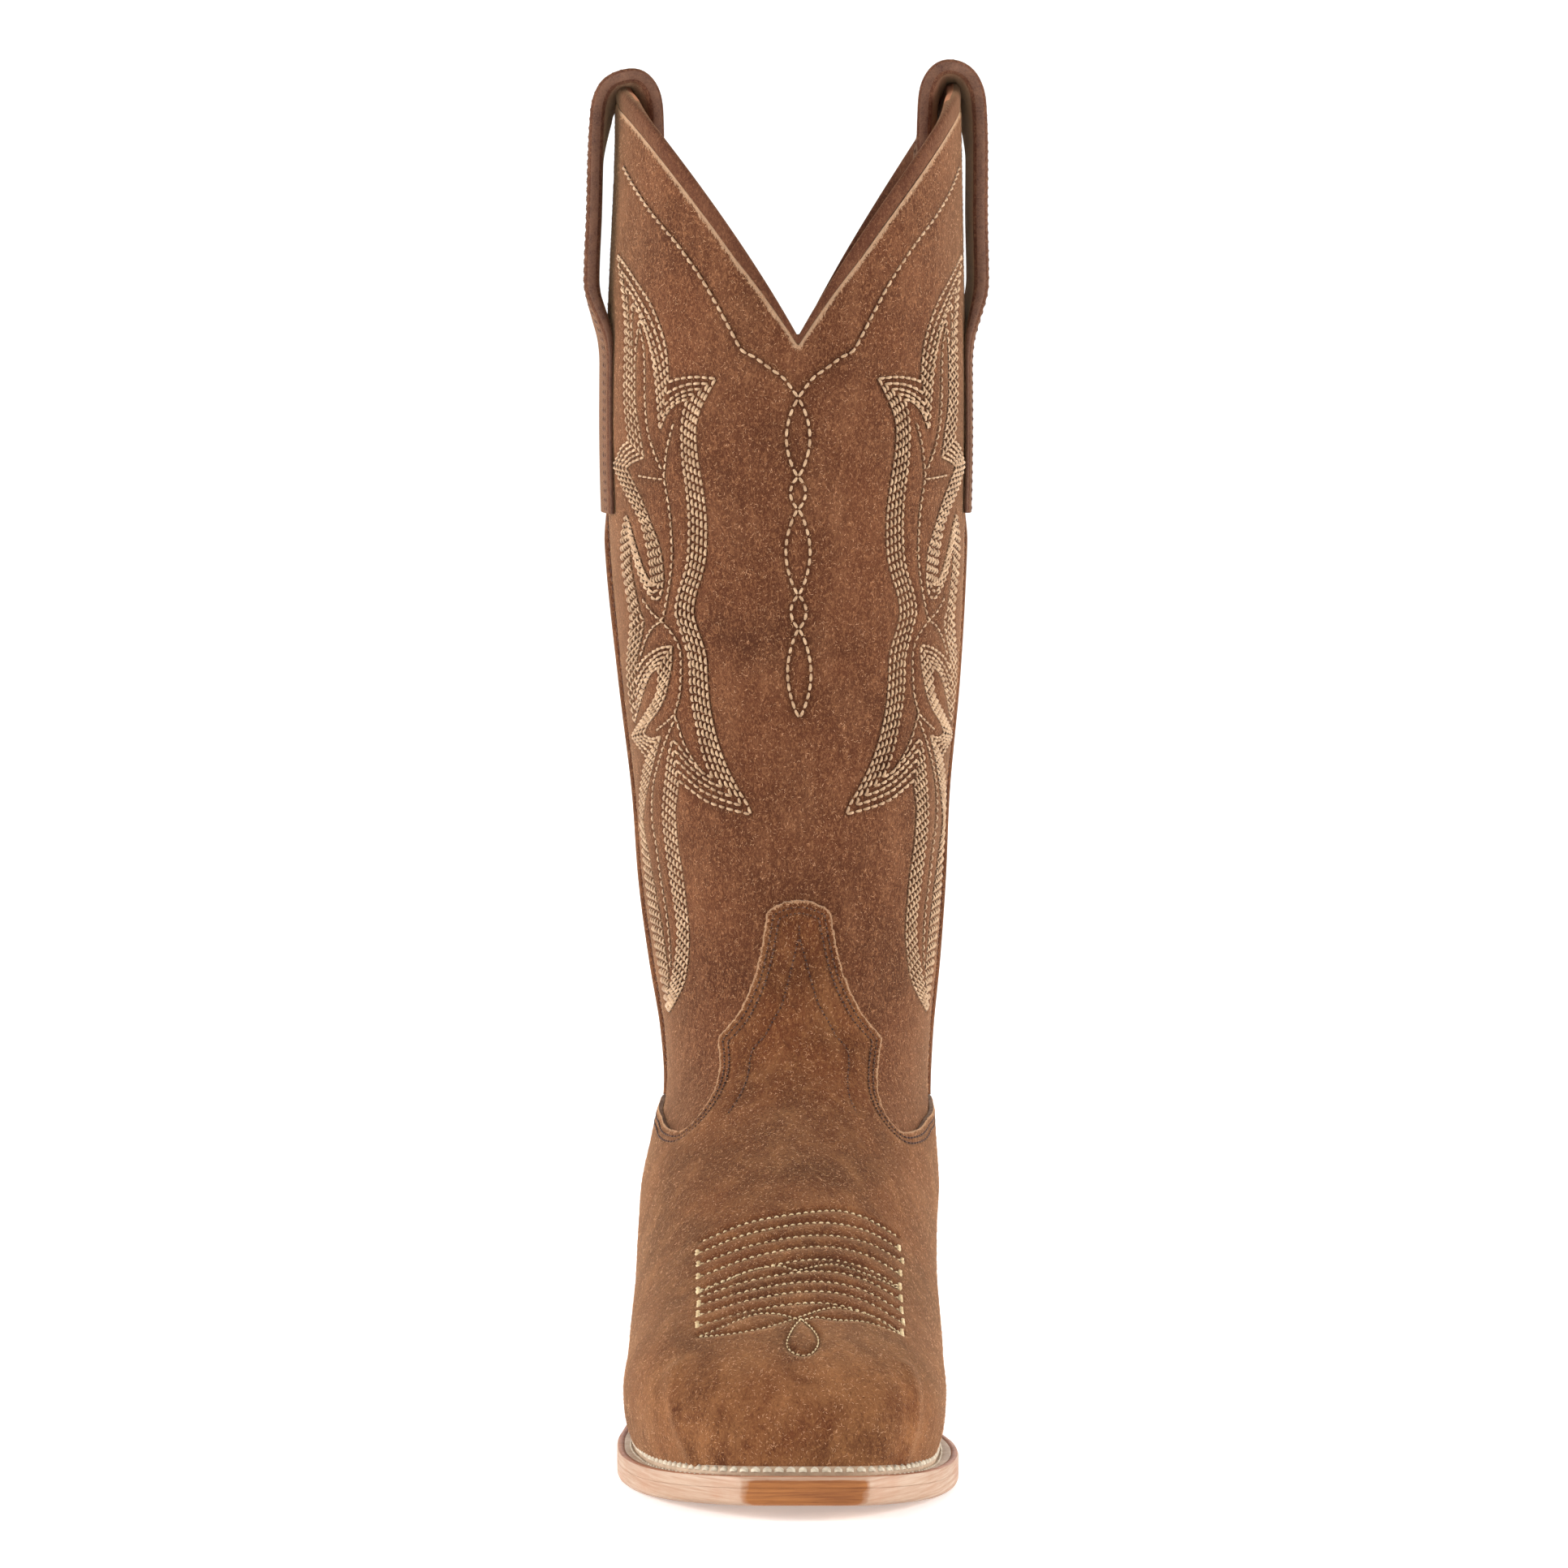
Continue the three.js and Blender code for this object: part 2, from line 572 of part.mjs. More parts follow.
// ---------------------------------------------------------------- the bottom
const ring = footPlate(0, (y) => outsoleBottom(y) + WELT_LOW, (y) => outsoleBottom(y) + WELT_HIGH).subtract(
  footPlate(WELT_WIDTH, (y) => outsoleBottom(y), (y) => outsoleBottom(y) + 2 * FEATHER),
);
const WELT_END_Y = 60; // the welt stops just in front of the heel
const RING_INSET = WELT_WIDTH + GAP;
const FILLER_END_Y = -22;
const low = (offset) => (y) => outsoleBottom(y) + offset;

function pegHole(x, y, radius) {
  const geometry = new THREE.CylinderGeometry(radius, radius, 20, 8).rotateX(Math.PI / 2);
  return solidFrom(geometry.translate(x, y, outsoleBottom(y)));
}

const PEG_RADIUS = 1.2;
const PEG_Y = [-6, 8, 22, 36, 50];
const pegPlaces = PEG_Y.flatMap((y) => [
  ["lateral", outlineAt(y, 0)[0] + 9, y],
  ["medial", outlineAt(y, 0)[1] - 9, y],
]);

function withPegHoles(solid) {
  return pegPlaces.reduce((left, [, x, y]) => left.subtract(pegHole(x, y, PEG_RADIUS + GAP)), solid);
}

// A peg fills its hole from the outsole's underside up into the welt.
function peg(x, y) {
  const from = outsoleBottom(y) + 0.5;
  const length = OUTSOLE + WELT - 1.4;
  const geometry = new THREE.CylinderGeometry(PEG_RADIUS, PEG_RADIUS * 0.8, length, 8).rotateX(-Math.PI / 2);
  return solidFrom(geometry.translate(x, y, from + length / 2));
}

// ---------------------------------------------------------------- the heel
const HEEL_TOP_HALF = 31;
const HEEL_BOTTOM_HALF = 25.5;
const HEEL_HEIGHT = SEAT_Z + 8;

// The heel's outline at a height: a flat breast and a round back, smaller and further forward lower down.
function heelOutline(z) {
  const rise = z / HEEL_HEIGHT;
  const half = THREE.MathUtils.lerp(HEEL_BOTTOM_HALF, HEEL_TOP_HALF, rise);
  const back = THREE.MathUtils.lerp(119, HEEL_Y - 0.6, rise ** 1.3);
  const breast = THREE.MathUtils.lerp(BREAST_Y + 4, BREAST_Y - 1, rise);
  const points = [new THREE.Vector3(half * 0.97, breast, z), new THREE.Vector3(-half * 0.97, breast, z)];
  const straight = back - half * 1.05;
  for (let k = 0; k <= 18; k++) {
    const angle = Math.PI + (Math.PI * k) / 18;
    const bulge = Math.abs(Math.sin(angle)) ** 0.92;
    points.push(new THREE.Vector3(half * Math.cos(angle), straight + (back - straight) * bulge, z));
  }
  return points;
}

const heelLayer = (from, to) => ringSolid([heelOutline(from), heelOutline(to)]);

const NAIL_RADIUS = 1.3;
const NAIL_PLACES = [
  [0, 110],
  [15, 100],
  [-15, 100],
  [14, 80],
  [-14, 80],
];
const NAIL_LENGTH = 10;

function nailShape(grow) {
  const profile = [
    [0, 0.4 - grow],
    [NAIL_RADIUS * 1.7 + grow, 0.4 - grow],
    [NAIL_RADIUS * 1.7 + grow, 1.6 + grow],
    [NAIL_RADIUS + grow, 1.6 + grow],
    [NAIL_RADIUS + grow, NAIL_LENGTH - 2 + grow],
    [0, NAIL_LENGTH + grow],
  ];
  const geometry = new THREE.LatheGeometry(profile.map(([r, z]) => new THREE.Vector2(r, z)), 8);
  return geometry.rotateX(Math.PI / 2);
}

const nail = ([x, y], grow = 0) => solidFrom(nailShape(grow).translate(x, y, 0));
const withNailHoles = (solid) => NAIL_PLACES.reduce((left, place) => left.subtract(nail(place, GAP)), solid);

const LIFTS_TOP = HEEL_CAP + HEEL_LIFTS * HEEL_LIFT;
const underOutsole = () => {
  const points = [];
  for (let y = 40; y <= 160; y += 6) points.push([y, outsoleBottom(Math.min(Math.max(y, BREAST_Y), HEEL_Y)) - GAP]);
  return lineRegion(points, "below");
};

// ---------------------------------------------------------------- materials
const material = (color, roughness, metalness = 0) => new THREE.MeshStandardMaterial({ color, roughness, metalness });
const suede = material(0x7d5232, 0.95);
const liningLeather = material(0xc98e5e, 0.75);
const soleLeather = material(0xd7a273, 0.5);
const weltLeather = material(0xdcb48e, 0.6);
const stiffener = material(0xd9cdb8, 0.9);
const cork = material(0x9b7347, 0.95);
const rubber = material(0x3a2a20, 0.85);
const steel = material(0x9a9da1, 0.35, 0.9);
const wood = material(0xc9a06c, 0.7);

const boot = new THREE.Group();
function add(name, solid, look) {
  const mesh = new THREE.Mesh(geometryFrom(solid), look);
  mesh.name = name;
  boot.add(mesh);
}

add("shaft_front", shaftFront, suede);
add("shaft_back", shaftBack, suede);
add("lining_front", liningFront, liningLeather);
add("lining_back", liningBack, liningLeather);
add("top_bead_front", beadSheet(-0.5, 0.5), suede);
add("top_bead_back", beadSheet(0.5, 1.5), suede);
add("side_welt_lateral", sideWelt(-0.5), suede);
add("side_welt_medial", sideWelt(0.5), suede);
add("pull_strap_lateral", pullStrap(-0.5, 3.2, 0), suede);
add("pull_strap_medial", pullStrap(0.5, 0.4, 2.8), suede);
add("vamp", vamp, suede);
add("counter_cover", counterCover, suede);
add("toe_puff", toePuff, stiffener);
add("vamp_interlining", vampInterlining, stiffener);
add("counter_stiffener", counterStiffener, stiffener);
add("vamp_lining", vampLining, liningLeather);
add("heel_lining", heelLining, liningLeather);

const insideUpper = lastSolid(LAYER_LINING[0] - GAP);
add("insole", footPlate(1, low(FEATHER), low(FEATHER + 3)).intersect(insideUpper), soleLeather);
add("sock_liner", footPlate(1, low(FEATHER + 3 + GAP), low(FEATHER + 4.6)).intersect(insideUpper), liningLeather);
add("welt", withPegHoles(ring.intersect(beforeY(WELT_END_Y))), weltLeather);
add("heel_rand", ring.intersect(behindY(WELT_END_Y + GAP)), weltLeather);
add("outsole", withPegHoles(footPlate(0, low(0), low(OUTSOLE))), soleLeather);
add("cork_filler", footPlate(RING_INSET, low(WELT_LOW), low(WELT_HIGH), TOE_Y, FILLER_END_Y), cork);
add("shank_cover", footPlate(RING_INSET, low(WELT_LOW), low(WELT_LOW + 1.5), FILLER_END_Y + GAP, WELT_END_Y), soleLeather);
add("heel_seat_filler", footPlate(RING_INSET, low(WELT_LOW), low(WELT_HIGH), WELT_END_Y + 26 + GAP), cork);

const SHANK_WIDTH = 14;
const shank = sheetSolid(12, 1, (row, column, side) => {
  const y = THREE.MathUtils.lerp(FILLER_END_Y + 2, WELT_END_Y + 24, row);
  return new THREE.Vector3((column - 0.5) * SHANK_WIDTH - 2, y, outsoleBottom(y) + (side ? 7 : 8.1));
});
add("shank", shank, steel);

add("heel_cap", withNailHoles(heelLayer(0, HEEL_CAP)), rubber);
for (let k = 0; k < HEEL_LIFTS; k++) {
  const from = HEEL_CAP + k * HEEL_LIFT + GAP;
  const lift = heelLayer(from, from + HEEL_LIFT - GAP);
  add(`heel_lift_${k + 1}`, k === 0 ? withNailHoles(lift) : lift, soleLeather);
}
add("heel_wedge", heelLayer(LIFTS_TOP + GAP, HEEL_HEIGHT).intersect(underOutsole()), soleLeather);
NAIL_PLACES.forEach((place, k) => add(`heel_nail_${k + 1}`, nail(place), steel));
pegPlaces.forEach(([side, x, y], k) => add(`peg_${side}_${Math.floor(k / 2) + 1}`, peg(x, y), wood));

// The origin is on the ground, under the middle of the boot's box.
const box = new THREE.Box3().setFromObject(boot, true);
const centre = box.getCenter(new THREE.Vector3());
boot.position.set(-centre.x, -centre.y, 0);

export default boot;
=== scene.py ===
# The looks of a tall western boot in suede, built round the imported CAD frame. Lengths are millimetres in the
# boot's own design frame until a piece is made, and metres in the row's frame after that.
import json
import math

import bmesh
import bpy
import numpy as np
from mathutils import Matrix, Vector, kdtree
from mathutils.geometry import delaunay_2d_cdt


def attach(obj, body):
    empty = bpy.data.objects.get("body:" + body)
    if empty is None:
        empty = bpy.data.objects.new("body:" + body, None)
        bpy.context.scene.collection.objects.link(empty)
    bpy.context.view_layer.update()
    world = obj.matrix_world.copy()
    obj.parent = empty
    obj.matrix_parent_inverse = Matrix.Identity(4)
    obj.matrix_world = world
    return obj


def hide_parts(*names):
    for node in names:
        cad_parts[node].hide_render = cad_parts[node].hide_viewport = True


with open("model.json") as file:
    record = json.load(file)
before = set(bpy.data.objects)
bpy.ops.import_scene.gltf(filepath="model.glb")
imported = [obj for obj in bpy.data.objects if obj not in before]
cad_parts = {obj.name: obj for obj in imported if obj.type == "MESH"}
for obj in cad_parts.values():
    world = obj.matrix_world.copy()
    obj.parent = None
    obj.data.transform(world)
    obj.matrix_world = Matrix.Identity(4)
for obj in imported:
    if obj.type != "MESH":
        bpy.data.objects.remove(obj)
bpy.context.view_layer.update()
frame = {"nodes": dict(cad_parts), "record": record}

RNG = np.random.default_rng(7)
MM = 0.001

# The heel's tread is under the design point (0, 92): that gives the shift from the design frame to the row's.
HEEL_TREAD = next(m for m in frame["record"]["mounts"] if m["name"] == "heel_tread")["pos_m"]
SHIFT = np.array([HEEL_TREAD[0], HEEL_TREAD[1] - 0.092, 0.0])

# ---------------------------------------------------------------- dimensions shared with the solids
TOE_Y, HEEL_Y, BREAST_Y = -142.0, 132.0, 66.0
TOE_SPRING, BALL_FRONT_Y, BALL_BACK_Y, SEAT_Z = 4.6, -75.0, -40.0, 36.0
WELT_LOW, WELT_HIGH, FEATHER = 5.3, 8.4, 8.7
WELT_END_Y, WING_END_Z = 60.0, 94.0
SCALLOP_FRONT_Z, SCALLOP_BACK_Z, EAR_Z, SCALLOP_POWER, EAR_LIP = 326.0, 307.0, 400.0, 2.25, 1.3
HEEL_CAP, HEEL_LIFT, HEEL_LIFTS = 6.0, 6.5, 4
# Distances off the last, of each layer's inside and outside.
LINING_IN, LINING_OUT = -1.35, -0.15
PANEL_IN, PANEL_OUT = 0.15, 1.55
COVER_IN, COVER_OUT = 1.85, 3.25

# [front y, front z, back y, back z, half width, centre x, twist, front exponent, back exponent, widest]
STATIONS = np.array([
    [10.5, 420, 138, 420, 50.8, -3.2, 3.2, 2.2, 2.2, 0.5],
    [11, 385, 139, 385, 50.8, -3.2, 3.2, 2.2, 2.2, 0.5],
    [12, 345, 140.5, 345, 51.8, -3.7, 3.2, 2.2, 2.2, 0.5],
    [13.5, 300, 141, 300, 53, -3.8, 3.2, 2.2, 2.2, 0.5],
    [16, 260, 139, 260, 52.2, -3.6, 3.1, 2.2, 2.2, 0.5],
    [19, 222, 135.5, 222, 49.3, -2.7, 2.8, 2.2, 2.2, 0.5],
    [21.5, 188, 131, 188, 45.7, -2.2, 2.4, 2.2, 2.2, 0.5],
    [23.5, 160, 127.5, 160, 44, -1.8, 2, 2.15, 2.1, 0.5],
    [23.5, 138, 125.5, 135, 41.6, -1.1, 1.5, 2.1, 2.0, 0.5],
    [21, 121, 126.5, 109, 38.8, -0.4, 1, 2.05, 2.0, 0.47],
    [15, 109, 130, 84, 38, -0.3, 0.5, 2, 2, 0.43],
    [4, 99, 133, 60, 39.6, -1.4, 0, 2, 2, 0.41],
    [-12, 89.5, 122, 42, 41.4, -2.5, 0, 2, 2, 0.42],
    [-31, 79.5, 88, 35, 41, -3.2, 0, 2, 2.05, 0.45],
    [-52, 68.5, 44, 22, 41.2, -3.6, 0, 2, 2.2, 0.5],
    [-74, 57.5, -4, 4, 42.2, -3.8, 0, 2.1, 2.6, 0.5],
    [-94, 48.5, -48, -1, 42.6, -4, 0, 2.25, 2.9, 0.5],
    [-110, 42, -84, -1, 38.5, -2.4, 0, 2.5, 3, 0.5],
    [-120.5, 36.5, -107, 0, 31.5, -1, 0, 2.7, 3, 0.5],
    [-127.5, 30, -120, 1, 24.5, 0, 0, 2.8, 3, 0.5],
    [-131, 21.5, -127.5, 2, 17.5, 0.8, 0, 2.8, 3, 0.5],
    [-132.3, 12, -130, 2, 13, 1.3, 0, 2.8, 3, 0.5],
    [-132.8, 3, -131.5, -6, 11, 1.5, 0, 2.8, 3, 0.5],
])
LAST_STATION = len(STATIONS) - 1
STATION_STEPS = 24
SHARES = 513
# Small steps for measuring the last's slopes, in station steps and in shares of the half girth.
PROBE_T, PROBE_U, PACE_T = 0.03, 0.006, 0.05
# How far down the stations a height over the foot's instep is looked for.
SHAFT_AND_FOOT = 21.5
# The side seam's course: heights, and how far back the seam is at each.
SEAM_COURSE = ([-50, 60, 100, 200, 500], [50, 66, 72, 75.5, 75.5])
SEAT_SLOPE = 8
# A shaft panel's half and the strip that a cover leaves open at its seams, in shares of the half girth.
PANEL_HALF, COVER_GAP = 0.498, 0.001
# A panel's mesh: the distance of its rows and its clearance from the edge, in point distances, and the rough
# millimetres of a step in t and in u.
ROW_GAP, EDGE_GAP, FLAT_SCALE = 0.87, 0.62, np.array([12.0, 150.0])
# The fibres of the nap, in millimetres; their bend is a share of their half length.
NAP_HALF_LENGTH, NAP_WIDTH, NAP_BEND = (0.25, 0.75), (0.045, 0.085), 0.45
NAP_MIDDLE_LIFT, NAP_END_LIFT, NAP_ROOT_DEPTH = (0.04, 0.16), (-0.05, 0.22), 0.05


def smoothstep(x, low, high):
    f = np.clip((x - low) / (high - low), 0, 1)
    return f * f * (3 - 2 * f)


def unit(v):
    return v / np.maximum(np.linalg.norm(v, axis=-1, keepdims=True), 1e-12)


def station_at(t):
    """The station rows at fractional indices t, on smooth curves through the rows."""
    t = np.clip(np.asarray(t, float), 0, LAST_STATION)
    i = np.minimum(np.floor(t).astype(int), LAST_STATION - 1)
    f = (t - i)[..., None]
    a, b, c, d = (STATIONS[np.clip(i + k, 0, LAST_STATION)] for k in (-1, 0, 1, 2))
    start, end = (c - a) / 2, (d - b) / 2
    return b + start * f + (3 * (c - b) - 2 * start - end) * f**2 + (2 * (b - c) + start + end) * f**3


def outline_tables():
    """Where each share of a station's half girth lies across and along it, and the half girths."""
    rows = station_at(np.arange(LAST_STATION * STATION_STEPS + 1) / STATION_STEPS)
    angle = np.linspace(0, math.pi, 900)
    in_front = angle < math.pi / 2
    even = np.linspace(0, 1, SHARES)
    across_table, along_table, girths = [], [], []
    for row in rows:
        n = np.where(in_front, row[7], row[8])
        across = np.clip(np.sin(angle), 0, 1) ** (2 / n)
        reach = np.abs(np.cos(angle)) ** (2 / n)
        along = np.where(in_front, row[9] * (1 - reach), row[9] + (1 - row[9]) * reach)
        depth = math.hypot(row[2] - row[0], row[3] - row[1])
        step = np.hypot(np.diff(across) * row[4], np.diff(along) * depth)
        length = np.concatenate([[0], np.cumsum(step)])
        across_table.append(np.interp(even, length / length[-1], across))
        along_table.append(np.interp(even, length / length[-1], along))
        girths.append(length[-1])
    return np.array(across_table), np.array(along_table), np.array(girths)


ACROSS, ALONG, HALF_GIRTHS = outline_tables()


def half_girth(t):
    return np.interp(t, np.arange(len(HALF_GIRTHS)) / STATION_STEPS, HALF_GIRTHS)


def last_point(t, u):
    """Points of the last's surface. u is 0 at the front, 0.5 medial, -0.5 lateral, 1 at the back."""
    t, u = np.broadcast_arrays(np.asarray(t, float), np.asarray(u, float))
    u = np.where(u > 1, u - 2, np.where(u < -1, u + 2, u))
    row = np.clip(t * STATION_STEPS, 0, len(ACROSS) - 1.001)
    column = np.clip(np.abs(u) * (SHARES - 1), 0, SHARES - 1.001)
    i, j = row.astype(int), column.astype(int)
    fi, fj = row - i, column - j

    def sample(table):
        low = table[i, j] * (1 - fj) + table[i, j + 1] * fj
        high = table[i + 1, j] * (1 - fj) + table[i + 1, j + 1] * fj
        return low * (1 - fi) + high * fi

    across, along = sample(ACROSS) * np.sign(u), sample(ALONG)
    s = station_at(t)
    x = across * s[..., 4]
    y = (along - 0.5) * (s[..., 2] - s[..., 0])
    turn = np.radians(s[..., 6])
    return np.stack(
        [
            s[..., 5] + x * np.cos(turn) - y * np.sin(turn),
            (s[..., 0] + s[..., 2]) / 2 + x * np.sin(turn) + y * np.cos(turn),
            s[..., 1] * (1 - along) + s[..., 3] * along,
        ],
        -1,
    )


def at_edge(line):
    """Where a (t, u) line lies on the last."""
    return last_point(line[:, 0], line[:, 1])


def outward(t, u):
    """Unit normals of the last's surface."""
    t, u = np.asarray(t, float), np.asarray(u, float)
    along = last_point(np.minimum(t + PROBE_T, LAST_STATION), u) - last_point(np.maximum(t - PROBE_T, 0), u)
    round_ = last_point(t, u + PROBE_U) - last_point(t, u - PROBE_U)
    return unit(np.cross(along, round_))


def skin(t, u, h):
    """Points at a height h off the last's surface."""
    return last_point(t, u) + outward(t, u) * np.asarray(h, float)[..., None]


def halve(low, high, above, rounds=32):
    """Where above(x) turns from true to false between low and high, for each element."""
    for _ in range(rounds):
        middle = (low + high) / 2
        up = above(middle)
        low, high = np.where(up, middle, low), np.where(up, high, middle)
    return (low + high) / 2


def find_t(u, wanted, measure, low, high):
    """The station index where measure(point) falls to wanted, for each u."""
    u = np.asarray(u, float)
    low, high = np.full(u.shape, float(low)), np.full(u.shape, float(high))
    return halve(low, high, lambda t: measure(last_point(t, u)) > wanted)


def t_at_height(u, z, low=0, high=12.5):
    return find_t(u, np.asarray(z, float), lambda p: p[..., 2], low, high)


# ---------------------------------------------------------------- the bottom's curves
def outsole_bottom(y):
    """The outsole's underside over its length: the toe's spring, the arch and the sloping heel seat."""
    y = np.asarray(y, float)
    toe = TOE_SPRING * (np.clip((BALL_FRONT_Y - y) / (BALL_FRONT_Y - TOE_Y), 0, 1)) ** 2
    rise = np.clip((y - BALL_BACK_Y) / (BREAST_Y - BALL_BACK_Y), 0, 1)
    arch = SEAT_Z * (1.9 * rise**2 - 0.9 * rise**3)
    seat = SEAT_SLOPE * np.sin(np.clip((y - BREAST_Y) / (HEEL_Y - BREAST_Y), 0, 1) * math.pi / 2)
    return toe + arch + seat


# The outsole's outline: [y, lateral x, medial x].
OUTLINE = np.array([
    [-142, -13, 16], [-141.2, -16, 19], [-138, -19.5, 22], [-130, -27.5, 28.5], [-119, -36, 35.2],
    [-108, -42, 39.8], [-92, -47.8, 43.8], [-75, -51.4, 45.6], [-57, -52.4, 44.8], [-40, -52, 41.8],
    [-20, -49, 37.5], [5, -42, 33.8], [30, -37.8, 31.8], [50, -35, 31.4], [66, -33.5, 31.6],
    [90, -32.2, 31.4], [108, -28.6, 28.2], [120, -22.6, 22.8], [127, -16.4, 17], [130.6, -10.4, 11.6],
    [132, -4, 5.4],
])


def slopes(y, x):
    """Slopes at a curve's points, one-sided at its ends."""
    inner = (x[2:] - x[:-2]) / (y[2:] - y[:-2])
    return np.concatenate([[(x[1] - x[0]) / (y[1] - y[0])], inner, [(x[-1] - x[-2]) / (y[-1] - y[-2])]])


OUTLINE_SLOPES = np.stack([slopes(OUTLINE[:, 0], OUTLINE[:, side]) for side in (1, 2)], 1)
PLATE_MIDDLE, PLATE_HALF = (TOE_Y + HEEL_Y) / 2, (HEEL_Y - TOE_Y) / 2
TIP_STEPS, SIDE_STEPS, HEEL_STEPS = 8, 150, 4


def outline_x(y, side):
    """The outline's x at y on its lateral (0) or medial (1) side."""
    ys, xs, slope = OUTLINE[:, 0], OUTLINE[:, 1 + side], OUTLINE_SLOPES[:, side]
    y = np.clip(np.asarray(y, float), TOE_Y, HEEL_Y)
    i = np.clip(np.searchsorted(ys, y, "right") - 1, 0, len(ys) - 2)
    length = ys[i + 1] - ys[i]
    f = (y - ys[i]) / length
    rise = xs[i + 1] - xs[i]
    p, q = slope[i] * length - rise, rise - slope[i + 1] * length
    return xs[i] + rise * f + f * (1 - f) * ((1 - f) * p + f * q)


def sole_loop(inset):
    """The outline drawn in by inset, as points from the toe's tip round the medial side and back."""
    v = np.linspace(0, 1, SIDE_STEPS)
    v = 0.35 * v + 0.65 * (1 - np.cos(math.pi * v)) / 2
    at = TOE_Y + (HEEL_Y - TOE_Y) * v
    y = PLATE_MIDDLE + (at - PLATE_MIDDLE) * (PLATE_HALF - inset) / PLATE_HALF
    lateral = np.minimum(outline_x(at, 0) + inset, -0.5)
    medial = np.maximum(outline_x(at, 1) - inset, 0.5)
    tip = np.linspace(lateral[0], medial[0], TIP_STEPS + 1)[1:-1]
    heel = np.linspace(medial[-1], lateral[-1], HEEL_STEPS + 1)[1:-1]
    x = np.concatenate([tip, medial, heel, lateral[::-1]])
    ys = np.concatenate([np.full(len(tip), y[0]), y, np.full(len(heel), y[-1]), y[::-1]])
    return np.stack([x, ys], 1)


# ---------------------------------------------------------------- making meshes
def to_row(points):
    return np.asarray(points, float) * MM + SHIFT


def add(name, data):
    """An object in the scene."""
    made = bpy.data.objects.new(name, data)
    bpy.context.scene.collection.objects.link(made)
    return made


def make_object(name, points, faces, materials, index=None, smooth_angle=40, attributes=None):
    """A mesh object of the design-frame points, riding on the boot. index is each face's material."""
    mesh = bpy.data.meshes.new(name)
    mesh.from_pydata(to_row(points).tolist(), [], faces)
    for material in materials:
        mesh.materials.append(material)
    if index is not None:
        mesh.polygons.foreach_set("material_index", np.asarray(index, np.int32))
    for key, values in (attributes or {}).items():
        mesh.attributes.new(key, "FLOAT", "POINT").data.foreach_set("value", np.asarray(values, np.float32))
    mesh.validate()
    work = bmesh.new()
    work.from_mesh(mesh)
    bmesh.ops.recalc_face_normals(work, faces=work.faces)
    work.to_mesh(mesh)
    work.free()
    mesh.shade_smooth()
    mesh.set_sharp_from_angle(angle=math.radians(smooth_angle))
    piece = add(name, mesh)
    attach(piece, "root")
    return piece


def stands_for(piece, node):
    """Hides the node of the frame that the piece is built to replace."""
    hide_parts(node)


def walked(points):
    """How far along a polyline each of its points is."""
    return np.concatenate([[0], np.cumsum(np.linalg.norm(np.diff(points, axis=0), axis=1))])


def read_at(s, walk, values):
    """A polyline's values at the distances s along it."""
    return np.stack([np.interp(s, walk, column) for column in values.T], 1)


def spread(points, count):
    """Evenly spaced points along a polyline."""
    walk = walked(points)
    return read_at(np.linspace(0, walk[-1], count), walk, points)


def resample(points, step):
    """Points about every step along a polyline, keeping its ends."""
    points = np.asarray(points, float)
    return spread(points, max(int(round(walked(points)[-1] / step)), 1) + 1)


def sewing_line(points, normals, step=0.35):
    """A line to sew along: its points and unit normals, sampled closely."""
    both = resample(np.hstack([points, normals]), step)
    return both[:, :3], unit(both[:, 3:])


def smooth_line(points, steps=8):
    """A Catmull-Rom curve through the points."""
    p = np.asarray(points, float)
    ends = np.vstack([2 * p[0] - p[1], p, 2 * p[-1] - p[-2]])
    f = np.linspace(0, 1, steps, endpoint=False)[:, None]
    out = []
    for k in range(len(p) - 1):
        a, b, c, d = ends[k : k + 4]
        square, cube = a - 2.5 * b + 2 * c - d / 2, 1.5 * (b - c) + (d - a) / 2
        out.append(b + (c - a) / 2 * f + square * f**2 + cube * f**3)
    return np.vstack(out + [p[-1:]])


def inside(polygon, points):
    """Which points lie inside a closed polygon."""
    result = np.zeros(len(points), bool)
    x, y = points[:, 0], points[:, 1]
    for (x0, y0), (x1, y1) in zip(polygon, np.roll(polygon, -1, 0)):
        if y0 != y1:
            result ^= ((y0 > y) != (y1 > y)) & (x < (x1 - x0) * (y - y0) / (y1 - y0) + x0)
    return result


def tree_of(points):
    tree = kdtree.KDTree(len(points))
    for k, p in enumerate(points):
        tree.insert(p, k)
    tree.balance()
    return tree


def distances(tree, points):
    return np.array([tree.find(p)[2] for p in points])


def fill_points(edge, spacing):
    """Points in staggered rows over a (t, u) region, clear of its edge."""
    low, high = edge.min(0), edge.max(0)
    middle_u = np.linspace(low[1], high[1], 9)
    rows = []
    t = low[0]
    while t < high[0]:
        ahead = last_point(min(t + PACE_T, LAST_STATION), middle_u) - last_point(t, middle_u)
        pace = np.linalg.norm(ahead, axis=1).max() / PACE_T
        step_u = spacing / half_girth(t)
        us = np.arange(low[1] + len(rows) % 2 * 0.5 * step_u, high[1], step_u)
        rows.append(np.stack([np.full(len(us), t), us], 1))
        t += spacing * ROW_GAP / pace
    points = np.vstack(rows)
    points = points[inside(edge, points)]
    return points[distances(tree_of(at_edge(edge)), at_edge(points)) > EDGE_GAP * spacing]


def fill(edge, spacing):
    """Triangles over a (t, u) region: (vertices, triangles), the edge's vertices first."""
    points = np.vstack([edge, fill_points(edge, spacing)])
    coords = [Vector(p) for p in points * FLAT_SCALE]
    _, _, faces, origins, _, _ = delaunay_2d_cdt(coords, [], [list(range(len(edge)))], 1, 1e-5)
    triangles = [[origins[k][0] for k in f] for f in faces]
    return points, [f for f in triangles if len(set(f)) == 3]


